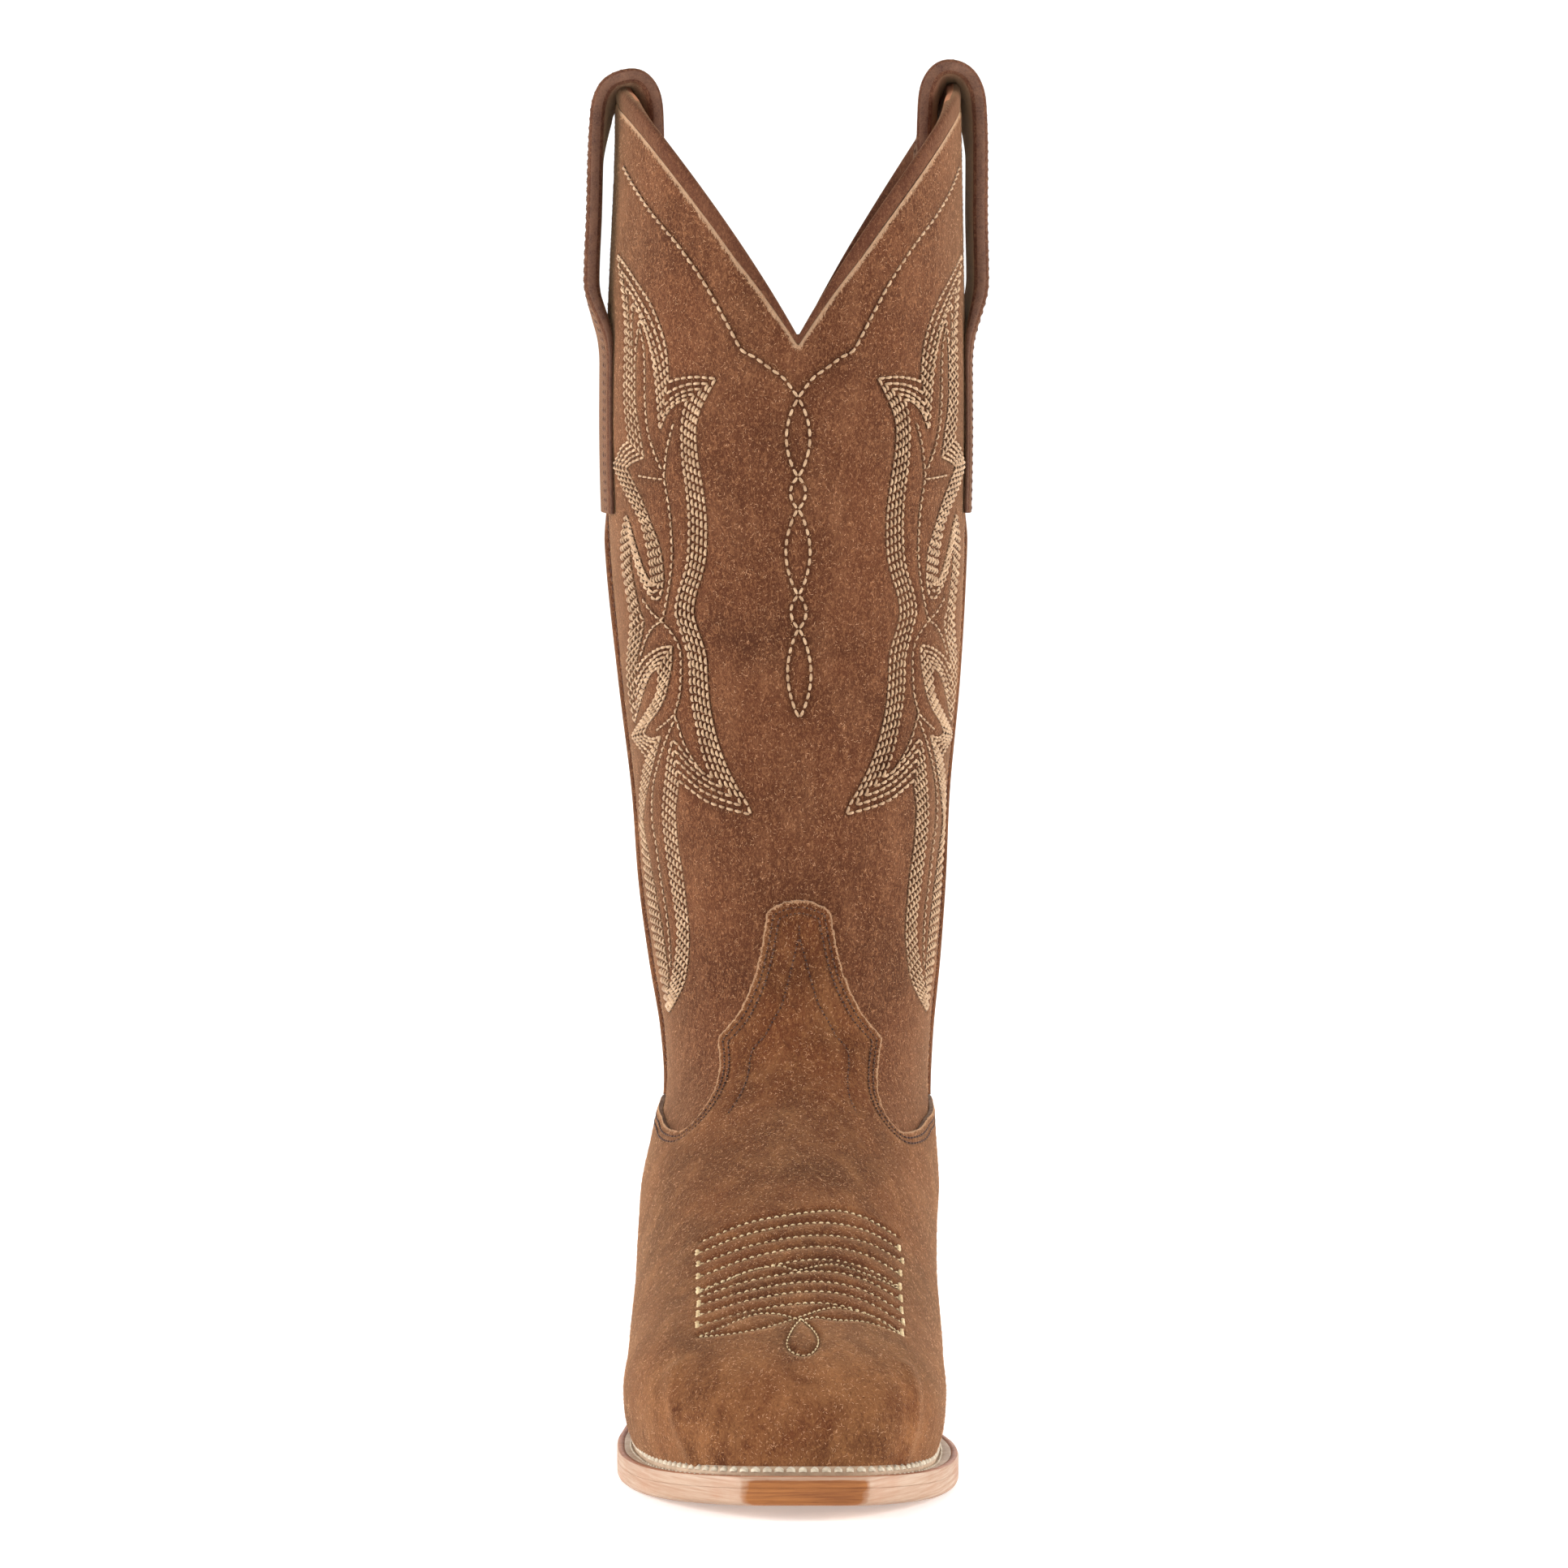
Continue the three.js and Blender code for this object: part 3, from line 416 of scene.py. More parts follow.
def nap_piece(name, points, faces, normals, count):
    """Loose fibres of the suede's nap: short bent spindles lying on its surface."""
    corners = points[np.array(faces)]
    area = np.linalg.norm(np.cross(corners[:, 1] - corners[:, 0], corners[:, 2] - corners[:, 0]), axis=1)
    pick = RNG.choice(len(faces), count, p=area / area.sum())
    root = (corners[pick] * RNG.dirichlet((1, 1, 1), count)[:, :, None]).sum(1)
    up = normals[np.array(faces)[pick, 0]]
    along = unit(np.cross(up, RNG.normal(size=(count, 3))))
    across = np.cross(up, along)
    half = RNG.uniform(*NAP_HALF_LENGTH, (count, 1))
    lift = up * RNG.uniform(*NAP_MIDDLE_LIFT, (count, 1))
    middle = root + lift + across * RNG.normal(0, NAP_BEND, (count, 1)) * half
    start = root - along * half - up * NAP_ROOT_DEPTH
    end = root + along * half + up * RNG.uniform(*NAP_END_LIFT, (count, 1))
    width = RNG.uniform(*NAP_WIDTH, (count, 1))
    waist = [middle + across * width, middle - across * width, middle + up * width]
    spindles = np.stack([start, *waist, end], 1)
    sides = ((0, 1, 2), (0, 2, 3), (0, 3, 1), (4, 2, 1), (4, 3, 2), (4, 1, 3))
    triangles = (np.arange(count)[:, None, None] * 5 + np.array(sides)[None]).reshape(-1, 3)
    make_object(name, spindles.reshape(-1, 3), triangles.tolist(), [NAP], None, 80)


def panel(name, edge, heights, materials, spacing, inner_spacing, relief=None, roll=0.35, looks=None, nap=0):
    """A closed leather panel over a (t, u) region: fine outside, coarse inside, with its cut edge between.

    relief(base) lifts the outside, roll rounds its edge, and looks holds each shader attribute's maker.
    """
    h_in, h_out = heights
    outer, outer_faces = fill(edge, spacing)
    inner, inner_faces = fill(edge, inner_spacing)
    base = at_edge(outer)
    from_edge = distances(tree_of(at_edge(edge)), base)
    rounding = roll * np.clip(1 - from_edge, 0, 1) ** 2
    normals = outward(outer[:, 0], outer[:, 1])
    top = base + normals * (h_out - rounding + (relief(base) if relief else 0.0))[:, None]
    under = skin(inner[:, 0], inner[:, 1], h_in)
    shift, count = len(outer), len(edge)
    faces = outer_faces + [[k + shift for k in f[::-1]] for f in inner_faces]
    rim = [[k, (k + 1) % count, (k + 1) % count + shift, k + shift] for k in range(count)]
    index = [0] * len(faces) + [1] * len(rim)
    inner_zeros = np.zeros(len(inner))
    values = {key: np.concatenate([maker(base), inner_zeros]) for key, maker in (looks or {}).items()}
    if nap:
        nap_piece(f"{name}_nap", top, outer_faces, normals, nap)
        rim_faces = [f for f in outer_faces if from_edge[list(f)].min() < 0.1]
        nap_piece(f"{name}_edge_nap", top, rim_faces, normals, nap // 9)
    return make_object(name, np.vstack([top, under]), faces + rim, materials, index, 50, values)


def grid_faces(rows, columns):
    """Quads between closed rings of points."""
    here = np.arange(rows - 1)[:, None] * columns + np.arange(columns)
    after = np.arange(rows - 1)[:, None] * columns + (np.arange(columns) + 1) % columns
    return np.stack([here, after, after + columns, here + columns], -1).reshape(-1, 4).tolist()


def loft(name, rings, materials, index=None, smooth_angle=40, attributes=None):
    """A skin over rings of points, closed with flat ends."""
    rows, columns = rings.shape[:2]
    ends = [list(range(columns))[::-1], [(rows - 1) * columns + c for c in range(columns)]]
    faces = grid_faces(rows, columns) + ends
    return make_object(name, rings.reshape(-1, 3), faces, materials, index, smooth_angle, attributes)


# ---------------------------------------------------------------- stitches
def stitch_template(sides=5):
    """One stitch, a unit long, wide and high: a rod whose ends dive into the leather."""
    angle = 2 * math.pi * np.arange(sides) / sides
    rings = [
        np.stack([np.full(sides, x), 0.5 * size * np.cos(angle), lift + 0.5 * size * np.sin(angle)], 1)
        for x, size, lift in ((-0.38, 0.72, -0.15), (0.0, 1.0, 0.25), (0.38, 0.72, -0.15))
    ]
    points = np.vstack([[(-0.5, 0, -0.9)], *rings, [(0.5, 0, -0.9)]])
    last = len(points) - 1
    faces = []
    for k in range(sides):
        d = (k + 1) % sides
        faces += [[0, 1 + d, 1 + k], [last, last - sides + k, last - sides + d]]
    return points, faces + [[k + 1 for k in f] for f in grid_faces(len(rings), sides)]


TEMPLATE, TEMPLATE_FACES = stitch_template()


def stitches_on(lines, pitch, length, width, height, jitter, phase):
    """Stitch placements along 3D lines: (centre, along, across, up) times its size, for each stitch."""
    placed = []
    for points, normals in lines:
        walk = walked(points)
        count = max(int(round(walk[-1] / pitch)), 1)
        real = walk[-1] / count
        middles = (np.arange(count) + phase) * real
        half = length / pitch * real / 2
        up = unit(read_at(middles, walk, normals))
        along = read_at(middles + half, walk, points) - read_at(middles - half, walk, points)
        across = unit(np.cross(up, along))
        wobble = 1 + RNG.normal(0, jitter, (count, 1))
        slant = across * RNG.normal(0, jitter * 0.6, (count, 1))
        placed.append((read_at(middles, walk, points), along * wobble + slant, across * width, up * height))
    return [np.vstack(group) for group in zip(*placed)]


def stitch_piece(name, lines, material, pitch, length, width, height, slot="suede", jitter=0.06, phase=0.5):
    """A row of stitches on each line, merged into one piece."""
    centre, along, across, up = stitches_on(lines, pitch, length, width, height, jitter, phase)
    points = (
        centre[:, None]
        + TEMPLATE[None, :, :1] * along[:, None]
        + TEMPLATE[None, :, 1:2] * across[:, None]
        + TEMPLATE[None, :, 2:] * up[:, None]
    )
    count = len(TEMPLATE)
    faces = [[k + s * count for k in f] for s in range(len(centre)) for f in TEMPLATE_FACES]
    make_object(name, points.reshape(-1, 3), faces, [material], None, 80)


# ---------------------------------------------------------------- edges of the pieces, as (t, u) lines
def ear_share(u):
    """How far round from the middle of the front or back towards an ear, from 0 to 1."""
    return np.where(np.abs(u) <= 0.5, np.abs(u), 1 - np.abs(u)) / 0.5


def top_edge(u):
    """Height of the shaft's top edge."""
    share = ear_share(u)
    low = np.where(np.abs(u) <= 0.5, SCALLOP_FRONT_Z, SCALLOP_BACK_Z)
    return low + (EAR_Z - low) * (1 - (1 - share) ** SCALLOP_POWER) + EAR_LIP * smoothstep(share, 0.82, 0.95)


def wrap(u):
    return np.where(u > 1, u - 2, u)


def middle_u(back):
    return 1.0 if back else 0.0


def seam_order(back):
    """The sides of a piece's first and second seams as u grows: 1 is medial, -1 is lateral."""
    return (1, -1) if back else (-1, 1)


def seam_u(t, side):
    """Where the side seam crosses a station: the seam leans forward towards the sole."""
    t = np.atleast_1d(np.asarray(t, float))

    def ahead(u):
        p = last_point(t, side * u)
        return p[..., 1] < np.interp(p[..., 2], *SEAM_COURSE)

    return side * halve(np.full(t.shape, 0.2), np.full(t.shape, 0.85), ahead, 30)


def above_welt(p):
    return p[..., 2] - outsole_bottom(np.clip(p[..., 1], TOE_Y, HEEL_Y)) - FEATHER


def welt_line():
    """Where the upper meets the welt on one side: (t, u) from the toe's middle to the heel's middle."""
    toe_u = np.linspace(0, 0.45, 130)
    toe = np.stack([find_t(toe_u, 0.0, above_welt, 12, LAST_STATION), toe_u], 1)
    heel_u = np.linspace(0.8, 1.0, 60)
    heel = np.stack([find_t(heel_u, 0.0, above_welt, 9, 12.6), heel_u], 1)
    t = np.linspace(toe[-1, 0], heel[0, 0], 320)[1:-1]
    waist_u = halve(np.full(t.shape, 0.4), np.full(t.shape, 0.85), lambda u: above_welt(last_point(t, u)) > 0)
    return np.vstack([toe, np.stack([t, waist_u], 1), heel])


WELT_LINE = welt_line()


def from_flat(a, z, back=False):
    """Turns distances round from the middle of the front (or of the back) and heights into (t, u)."""
    a, z = np.asarray(a, float), np.asarray(z, float)
    middle = middle_u(back)
    t = t_at_height(np.full(a.shape, middle), z, 0, SHAFT_AND_FOOT)
    for _ in range(4):
        u = middle + a / half_girth(t)
        t = t_at_height(u, z, 0, SHAFT_AND_FOOT)
    return t, middle + a / half_girth(t)


def flat_line(points, h, back=False, flip=False):
    """A stitch line given flat, laid on the boot."""
    points = resample(points, 0.8)
    t, u = from_flat(-points[:, 0] if flip else points[:, 0], points[:, 1], back)
    return sewing_line(skin(t, u, h), outward(t, u))


def flat_curves(curves, h, back=False, flips=(False,)):
    """Smooth stitch lines given flat, each also mirrored where flips asks for it."""
    return [flat_line(smooth_line(curve), h, back, flip) for curve in curves for flip in flips]


def clear_edge(points):
    """Drops neighbours that coincide from a closed (t, u) edge."""
    place = at_edge(points)
    return points[np.linalg.norm(place - np.roll(place, 1, 0), axis=1) > 0.25]


def dense(line, step):
    """A (t, u) line with points about every step millimetres."""
    return resample(np.hstack([at_edge(line), line]), step)[:, 3:]


def thin_out(edge, step):
    return clear_edge(dense(np.vstack([edge, edge[:1]]), step)[:-1])


# ---------------------------------------------------------------- materials
class Shader:
    """A node material in the making: names for its nodes keep the recipes below short."""

    def __init__(self, name):
        self.material = bpy.data.materials.new(name)
        self.material.use_nodes = True
        self.nodes, self.links = self.material.node_tree.nodes, self.material.node_tree.links
        self.surface = next(n for n in self.nodes if n.type == "BSDF_PRINCIPLED")
        self.place = self.node("ShaderNodeTexCoord").outputs["Object"]

    def feed(self, value, socket):
        """Sets a constant on a socket, or links a node's output to it."""
        if isinstance(value, tuple):
            socket.default_value = (*value, 1)
        elif isinstance(value, (int, float)):
            socket.default_value = value
        else:
            self.links.new(value, socket)

    def node(self, kind, **settings):
        """A new node. Settings that start with in_ are its sockets, the others its properties."""
        made = self.nodes.new(kind)
        for key, value in settings.items():
            if key.startswith("in_"):
                self.feed(value, made.inputs[key[3:].replace("_", " ")])
            else:
                setattr(made, key, value)
        return made

    def stretched(self, stretch):
        mapping = self.node("ShaderNodeMapping", in_Vector=self.place)
        mapping.inputs["Scale"].default_value = stretch
        return mapping.outputs["Vector"]

    def noise(self, size_mm, detail=3, roughness=0.55, stretch=None, distortion=0.0):
        place = self.stretched(stretch) if stretch else self.place
        settings = {"in_Detail": detail, "in_Roughness": roughness, "in_Distortion": distortion}
        made = self.node("ShaderNodeTexNoise", in_Vector=place, in_Scale=1 / (size_mm * MM), **settings)
        return made.outputs["Fac"]

    def ramp(self, value, *stops):
        """Maps a value through the (position, grey) stops."""
        made = self.node("ShaderNodeValToRGB", in_Fac=value)
        for element, (position, grey) in zip(made.color_ramp.elements, stops):
            element.position = position
            element.color = (grey, grey, grey, 1)
        return made.outputs["Color"]

    def mix(self, factor, a, b):
        made = self.node("ShaderNodeMix", data_type="RGBA")
        for value, socket in ((factor, made.inputs["Factor"]), (a, made.inputs[6]), (b, made.inputs[7])):
            self.feed(value, socket)
        return made.outputs[2]

    def over(self, base, colour, value, *stops):
        """The colour laid over the base where the value's ramp is bright."""
        return self.mix(self.ramp(value, *stops), base, colour)

    def math(self, operation, a, b):
        made = self.node("ShaderNodeMath", operation=operation)
        self.feed(a, made.inputs[0])
        self.feed(b, made.inputs[1])
        return made.outputs[0]

    def attribute(self, name):
        return self.node("ShaderNodeAttribute", attribute_name=name).outputs["Fac"]

    def ragged(self, name, value, amount):
        """An attribute with its border broken up by a noise."""
        uneven = self.math("MULTIPLY", self.math("SUBTRACT", value, 0.5), amount)
        return self.math("ADD", self.attribute(name), uneven)

    def bump(self, *layers):
        """Bumps one over another, each (height, depth in millimetres, strength)."""
        normal = None
        for height, depth_mm, strength in layers:
            depth = depth_mm * MM
            made = self.node("ShaderNodeBump", in_Strength=strength, in_Distance=depth, in_Height=height)
            if normal is not None:
                self.links.new(normal, made.inputs["Normal"])
            normal = made.outputs["Normal"]
        return normal

    def finish(self, **settings):
        for key, value in settings.items():
            self.feed(value, self.surface.inputs[key.replace("_", " ")])
        return self.material


def rgb(red, green, blue):
    """A colour as it looks on a screen, 0 to 255, in the linear values that shaders use."""
    shares = [c / 255 for c in (red, green, blue)]
    return tuple(((c + 0.055) / 1.055) ** 2.4 if c > 0.04045 else c / 12.92 for c in shares)


def dimmed(colour, share):
    return tuple(c * share for c in colour)


def suede(name, dark, middle, light, raw, blotch_mm=42, brushed=0.22, flecks=0.75):
    """Napped suede: blotches, brushed patches, short fibres, painted shade in stitched dents, pale at cut
    edges.
    """
    s = Shader(name)
    blotch = s.noise(blotch_mm, 3, 0.5, distortion=0.5)
    hand = s.noise(17, 3, 0.55, distortion=0.6)
    patch = s.noise(9, 3, 0.6, (1, 1, 0.45), 0.4)
    fibre = s.noise(1.1, 3, 0.75, (1, 1, 0.55), 1.8)
    fleck = s.noise(0.5, 2, 0.75, (1, 1, 0.7), 1.2)
    base = s.over(middle, dark, blotch, (0.36, 0.0), (0.66, 0.75))
    handled = s.ramp(hand, (0.38, 0.0), (0.62, 0.34))
    base = s.mix(s.math("MULTIPLY", s.attribute("rubbed"), handled), base, light)
    base = s.over(base, light, patch, (0.46, 0.0), (0.80, brushed))
    base = s.over(base, light, fibre, (0.50, 0.0), (0.70, flecks * 0.75))
    base = s.over(base, dark, fibre, (0.30, 0.65), (0.48, 0.0))
    base = s.over(base, light, fleck, (0.57, 0.0), (0.69, flecks))
    # Painted shade: a dimmed copy of the dark tone laid into the stitched dents.
    base = s.mix(s.math("MULTIPLY", s.attribute("dent_and_shade"), 0.55), base, dimmed(dark, 0.4))
    base = s.over(base, raw, s.ragged("raw", fibre, 1.6), (0.40, 0.0), (0.66, 0.9))
    normal = s.bump((patch, 0.5, 0.25), (fibre, 0.25, 0.8), (fleck, 0.14, 0.7))
    roughness = s.ramp(patch, (0.3, 0.98), (0.7, 0.88))
    sheen = {"Sheen_Weight": 0.5, "Sheen_Roughness": 0.34, "Sheen_Tint": (0.92, 0.58, 0.33)}
    return s.finish(Base_Color=base, Roughness=roughness, Normal=normal, Specular_IOR_Level=0.08, **sheen)


def smooth_leather(name, dark, light, grain_mm, gloss):
    """Grain leather: soft shade changes, pores and fine creases, with painted shade in the creases' hollows.
    """
    s = Shader(name)
    voronoi = s.node("ShaderNodeTexVoronoi", in_Scale=1 / (grain_mm * MM), in_Vector=s.place)
    pores = voronoi.outputs["Distance"]
    crease = s.noise(2.4, 4, 0.7)
    base = s.over(dark, light, s.noise(18, 4, 0.6), (0.3, 0.0), (0.7, 1.0))
    # Painted shade: a dimmed copy of the dark tone in the creases' hollows, where the bump is low.
    base = s.over(base, dimmed(dark, 0.72), crease, (0.35, 0.35), (0.55, 0.0))
    roughness = s.ramp(crease, (0.3, gloss + 0.14), (0.7, gloss - 0.06))
    normal = s.bump((pores, 0.12, 0.5), (crease, 0.2, 0.3))
    return s.finish(Base_Color=base, Roughness=roughness, Normal=normal, Specular_IOR_Level=0.35)


def stacked_leather(name, dark, light, stain, worn=None):
    """The cut edge of sole leather: level layers of fibres, stained in patches, with a worn, darker tip."""
    s = Shader(name)
    layers = s.noise(1.3, 4, 0.7, (0.06, 0.06, 1.6))
    fibre = s.noise(0.5, 2, 0.7)
    base = s.over(dark, light, layers, (0.36, 0.0), (0.64, 1.0))
    base = s.over(base, stain, s.noise(14, 3, 0.6), (0.45, 0.0), (0.75, 0.5))
    base = s.over(base, dark, fibre, (0.6, 0.0), (0.8, 0.3))
    if worn:
        smear = s.noise(4, 3, 0.6, (0.6, 0.6, 1))
        rubbed = s.over(*worn, layers, (0.36, 0.0), (0.64, 1.0))
        base = s.over(base, rubbed, s.ragged("tip", smear, 0.9), (0.28, 0.0), (0.74, 1.0))
    roughness = s.ramp(layers, (0.3, 0.62), (0.7, 0.46))
    normal = s.bump((layers, 0.16, 0.6), (fibre, 0.06, 0.5))
    return s.finish(Base_Color=base, Roughness=roughness, Normal=normal, Specular_IOR_Level=0.35)


def thread_material(name, dark, light, pitch_mm=0.42):
    """Twisted thread: fine slanting plies with painted shade in the grooves between them, and a soft shade
    change from stitch to stitch.
    """
    s = Shader(name)
    bands = {"bands_direction": "DIAGONAL", "in_Distortion": 2.0, "in_Detail": 1.0, "in_Vector": s.place}
    plies = s.node("ShaderNodeTexWave", in_Scale=1 / (6 * pitch_mm * MM), **bands).outputs["Fac"]
    base = s.over(dark, light, s.noise(3.5, 2, 0.6), (0.35, 0.0), (0.65, 1.0))
    # Painted shade: a dimmed copy of the dark tone in the grooves between the plies.
    base = s.over(base, dimmed(dark, 0.6), plies, (0.0, 0.3), (0.5, 0.0))
    normal = s.bump((plies, 0.08, 0.6), (s.noise(0.3, 2, 0.7), 0.05, 0.5))
    return s.finish(Base_Color=base, Roughness=0.72, Normal=normal, Sheen_Weight=0.2, Specular_IOR_Level=0.3)


def grainy(name, dark, light, size_mm, roughness, depth_mm, metallic=0.0, stretch=None):
    """A plain worked material with a grain of the given size, for cork, rubber, wood, cloth and steel."""
    s = Shader(name)
    grain = s.noise(size_mm, 4, 0.7, stretch)
    base = s.over(dark, light, s.noise(size_mm * 6, 3, 0.6, stretch), (0.35, 0.0), (0.65, 0.7))
    base = s.over(base, light, grain, (0.4, 0.0), (0.6, 0.6))
    shine = s.ramp(grain, (0.3, roughness), (0.7, roughness * 0.85))
    normal = s.bump((grain, depth_mm, 0.7))
    return s.finish(Base_Color=base, Roughness=shine, Normal=normal, Metallic=metallic)


SUEDE = suede("suede_shaft", rgb(61, 33, 21), rgb(87, 50, 32), rgb(160, 110, 76), rgb(166, 134, 106))
FOOT_TONES = (rgb(62, 33, 20), rgb(93, 52, 31), rgb(164, 113, 72), rgb(162, 128, 98))
SUEDE_FOOT = suede("suede_foot", *FOOT_TONES, 24, 0.36, 0.55)
SUEDE_STRAP = suede("suede_strap", rgb(64, 38, 29), rgb(86, 53, 40), rgb(134, 94, 70), rgb(138, 100, 74))
RAW_EDGE = grainy("suede_cut_edge", rgb(84, 57, 41), rgb(158, 128, 102), 0.45, 0.95, 0.3)
LINING_CUT = grainy("lining_cut_edge", rgb(146, 88, 58), rgb(196, 134, 96), 0.8, 0.95, 0.3)
STRAP_EDGE = grainy("strap_cut_edge", rgb(74, 46, 34), rgb(112, 76, 55), 0.5, 0.95, 0.25)
BINDING = suede("suede_binding", rgb(66, 37, 26), rgb(86, 51, 36), rgb(130, 88, 62), rgb(136, 98, 70))
LINING = smooth_leather("lining_leather", rgb(176, 112, 66), rgb(205, 142, 92), 1.1, 0.6)
WELT = smooth_leather("welt_leather", rgb(150, 124, 100), rgb(184, 158, 132), 0.8, 0.55)
WELT_RIM = smooth_leather("welt_rim", rgb(146, 90, 62), rgb(182, 124, 90), 0.8, 0.5)
SOLE = smooth_leather("sole_leather", rgb(178, 130, 92), rgb(204, 158, 118), 1.4, 0.45)
TIP_LOOK = (rgb(124, 70, 28), rgb(158, 98, 46))
SOLE_EDGE = stacked_leather("sole_edge", rgb(160, 125, 100), rgb(180, 153, 131), rgb(162, 112, 82), TIP_LOOK)
HEEL_EDGE = stacked_leather("heel_stack", rgb(118, 72, 45), rgb(140, 90, 58), rgb(104, 61, 38))
NAP = grainy("suede_nap", rgb(158, 108, 72), rgb(212, 164, 122), 1.5, 0.9, 0.02)
THREAD = thread_material("thread_pale", rgb(160, 126, 94), rgb(196, 162, 127))
THREAD_TOE = thread_material("thread_toe", rgb(186, 158, 116), rgb(224, 200, 156))
THREAD_TONE = thread_material("thread_tone", rgb(76, 45, 29), rgb(106, 68, 46))
# Painted shade: a near-black material standing for the shadow inside needle holes.
HOLE_SHADE = grainy("needle_hole_shade", rgb(26, 15, 10), rgb(42, 25, 17), 0.6, 0.95, 0.05)
THREAD_WELT = thread_material("thread_welt", rgb(176, 160, 138), rgb(210, 196, 172), 0.6)
CLOTH = grainy("stiffener_cloth", rgb(190, 178, 154), rgb(224, 214, 192), 0.7, 0.92, 0.12)
CORK = grainy("cork", rgb(122, 84, 48), rgb(176, 132, 84), 1.6, 0.95, 0.3)
RUBBER = grainy("heel_rubber", rgb(38, 27, 21), rgb(62, 46, 36), 0.9, 0.8, 0.12)
STEEL = grainy("steel", rgb(120, 122, 126), rgb(176, 178, 182), 0.8, 0.38, 0.05, 1.0, (1, 0.1, 1))
WOOD = grainy("peg_wood", rgb(96, 60, 34), rgb(140, 96, 58), 0.5, 0.7, 0.1, 0.0, (1, 1, 0.15))


# ------------------------------------------------ the embroidery, one half, as (distance round, height)
# Each leg is a ribbon of stitch rows between two edges. Legs meet in sharp corners.
RIBBON_ROWS = 5
RIBBON = [
    ([(56, 122), (58, 133), (60, 142), (62, 152), (65, 165), (69, 177), (68, 184), (61, 194), (56, 199)],
     [(55, 122), (50.5, 133), (51, 141), (53, 153), (57.5, 166), (64, 178), (62.5, 183), (54.5, 194),
      (47, 206)]),
    ([(56, 199), (63, 202), (71, 204.5)],
     [(47, 206), (52.5, 205), (58, 206)]),
    ([(71, 204.5), (61, 209), (54.5, 213), (49, 217.5), (47, 222), (46.5, 227)],
     [(58, 206), (55, 209), (48.5, 213.5), (44.5, 218), (42.5, 223), (41, 228), (40.5, 233.5)]),
    ([(46.5, 227), (51, 225), (54.5, 221.5), (60, 215), (66, 209)],
     [(40.5, 233.5), (44.5, 233), (49, 231.5), (55.5, 228.5), (60, 225)]),
    ([(66, 209), (68, 214), (70, 219.5), (69.5, 225), (67.5, 230), (64.5, 235), (62.5, 240.5), (63.5, 245),
      (65, 251), (67, 256), (67.5, 261), (66.5, 266), (63, 272)],
     [(60, 225), (59.5, 230), (56, 235.5), (54, 240.5), (56, 243), (58, 248), (59.5, 252.5), (61, 258),
      (60.5, 265)]),
    ([(63, 272), (60.5, 269), (58, 264.5), (55, 259.5), (52, 255), (48.5, 251.5)],
     [(60.5, 265), (58.5, 261), (56, 256), (53.5, 252.5), (50.5, 249.5), (47, 247.3), (44.3, 249),
      (43.3, 253)]),
    ([(48.5, 251.5), (48.7, 257), (50, 262.5), (53, 269.5), (57, 274), (62, 278), (68, 282.5), (74, 286.5)],
     [(43.3, 253), (43.6, 258), (44.7, 263), (47.7, 268.5), (52.5, 276), (58, 282), (63, 286)]),
    ([(74, 286.5), (70, 289), (66, 292), (60.5, 294)],
     [(63, 286), (59.5, 287.5), (56, 288.5), (51.7, 289.5)]),
    ([(60.5, 294), (62.5, 300.5), (64, 309), (64, 321), (64.5, 329.5), (67, 337), (70, 343), (74, 349.5)],
     [(51.7, 289.5), (54, 297), (56.5, 305), (57, 315), (56.5, 323), (54.7, 330.5)]),
    ([(74, 349.5), (66, 346.5), (58, 342), (50, 336), (45.5, 330), (42.5, 324), (41.3, 318.5), (40.7, 312)],
     [(54.7, 330.5), (51, 327), (48.3, 321), (46.3, 314), (45, 306), (44, 298)]),
    ([(40.7, 312), (37, 313), (31.6, 313.7), (27.7, 313.6), (24.2, 313.3)],
     [(44, 298), (41.6, 302.3), (38.6, 305.2), (35.7, 306.7), (33.4, 307)]),
    ([(24.2, 313.3), (26.5, 309.4), (29, 304.8), (30.6, 300), (30.7, 295), (30, 289), (28.6, 281.5),
      (27.3, 272), (27.5, 261.5), (29, 255), (31, 249.5), (32, 244), (31, 239.5), (29.2, 235), (28, 230.5),
      (27.7, 223), (27, 216), (25.5, 209), (23.8, 203.5), (21.5, 198), (18.3, 192), (15.2, 187.2),
      (14, 184)],
     [(33.4, 307), (34.8, 303), (35.4, 298.4), (35.3, 293.3), (34.8, 287.5), (33.7, 281.3), (32.8, 272),
      (33.1, 262), (34.3, 256), (36.8, 250), (38.2, 244), (36.6, 239), (34.8, 234), (33.5, 229.7),
      (33.3, 222.7), (32.5, 216), (31, 209.5), (29.6, 203.7), (27.8, 198.6), (25.6, 194.7)]),
    ([(14, 184), (17.6, 184.8), (22.7, 186), (28, 187.6), (33.3, 190.4), (38.8, 193.4)],
     [(25.6, 194.7), (28.8, 195.8), (32.4, 198.4), (36, 201.3), (38.8, 204), (41, 205.3)]),
    ([(38.8, 193.4), (39.7, 189), (40.8, 184), (40.5, 178.6), (39.7, 172.6), (38, 165.3), (37, 158),
      (36.2, 149), (37, 141), (40, 132.5), (46.5, 126.4), (54.5, 121.6)],
     [(41, 205.3), (43, 200.6), (44.4, 195), (45.8, 189.4), (47, 183.7), (46.4, 177), (45, 169.7),
      (43.6, 163.7), (42, 155.8), (41.2, 147.8), (43.2, 139.6), (47.8, 131.8), (52.6, 125.8), (56, 121.5)]),
]

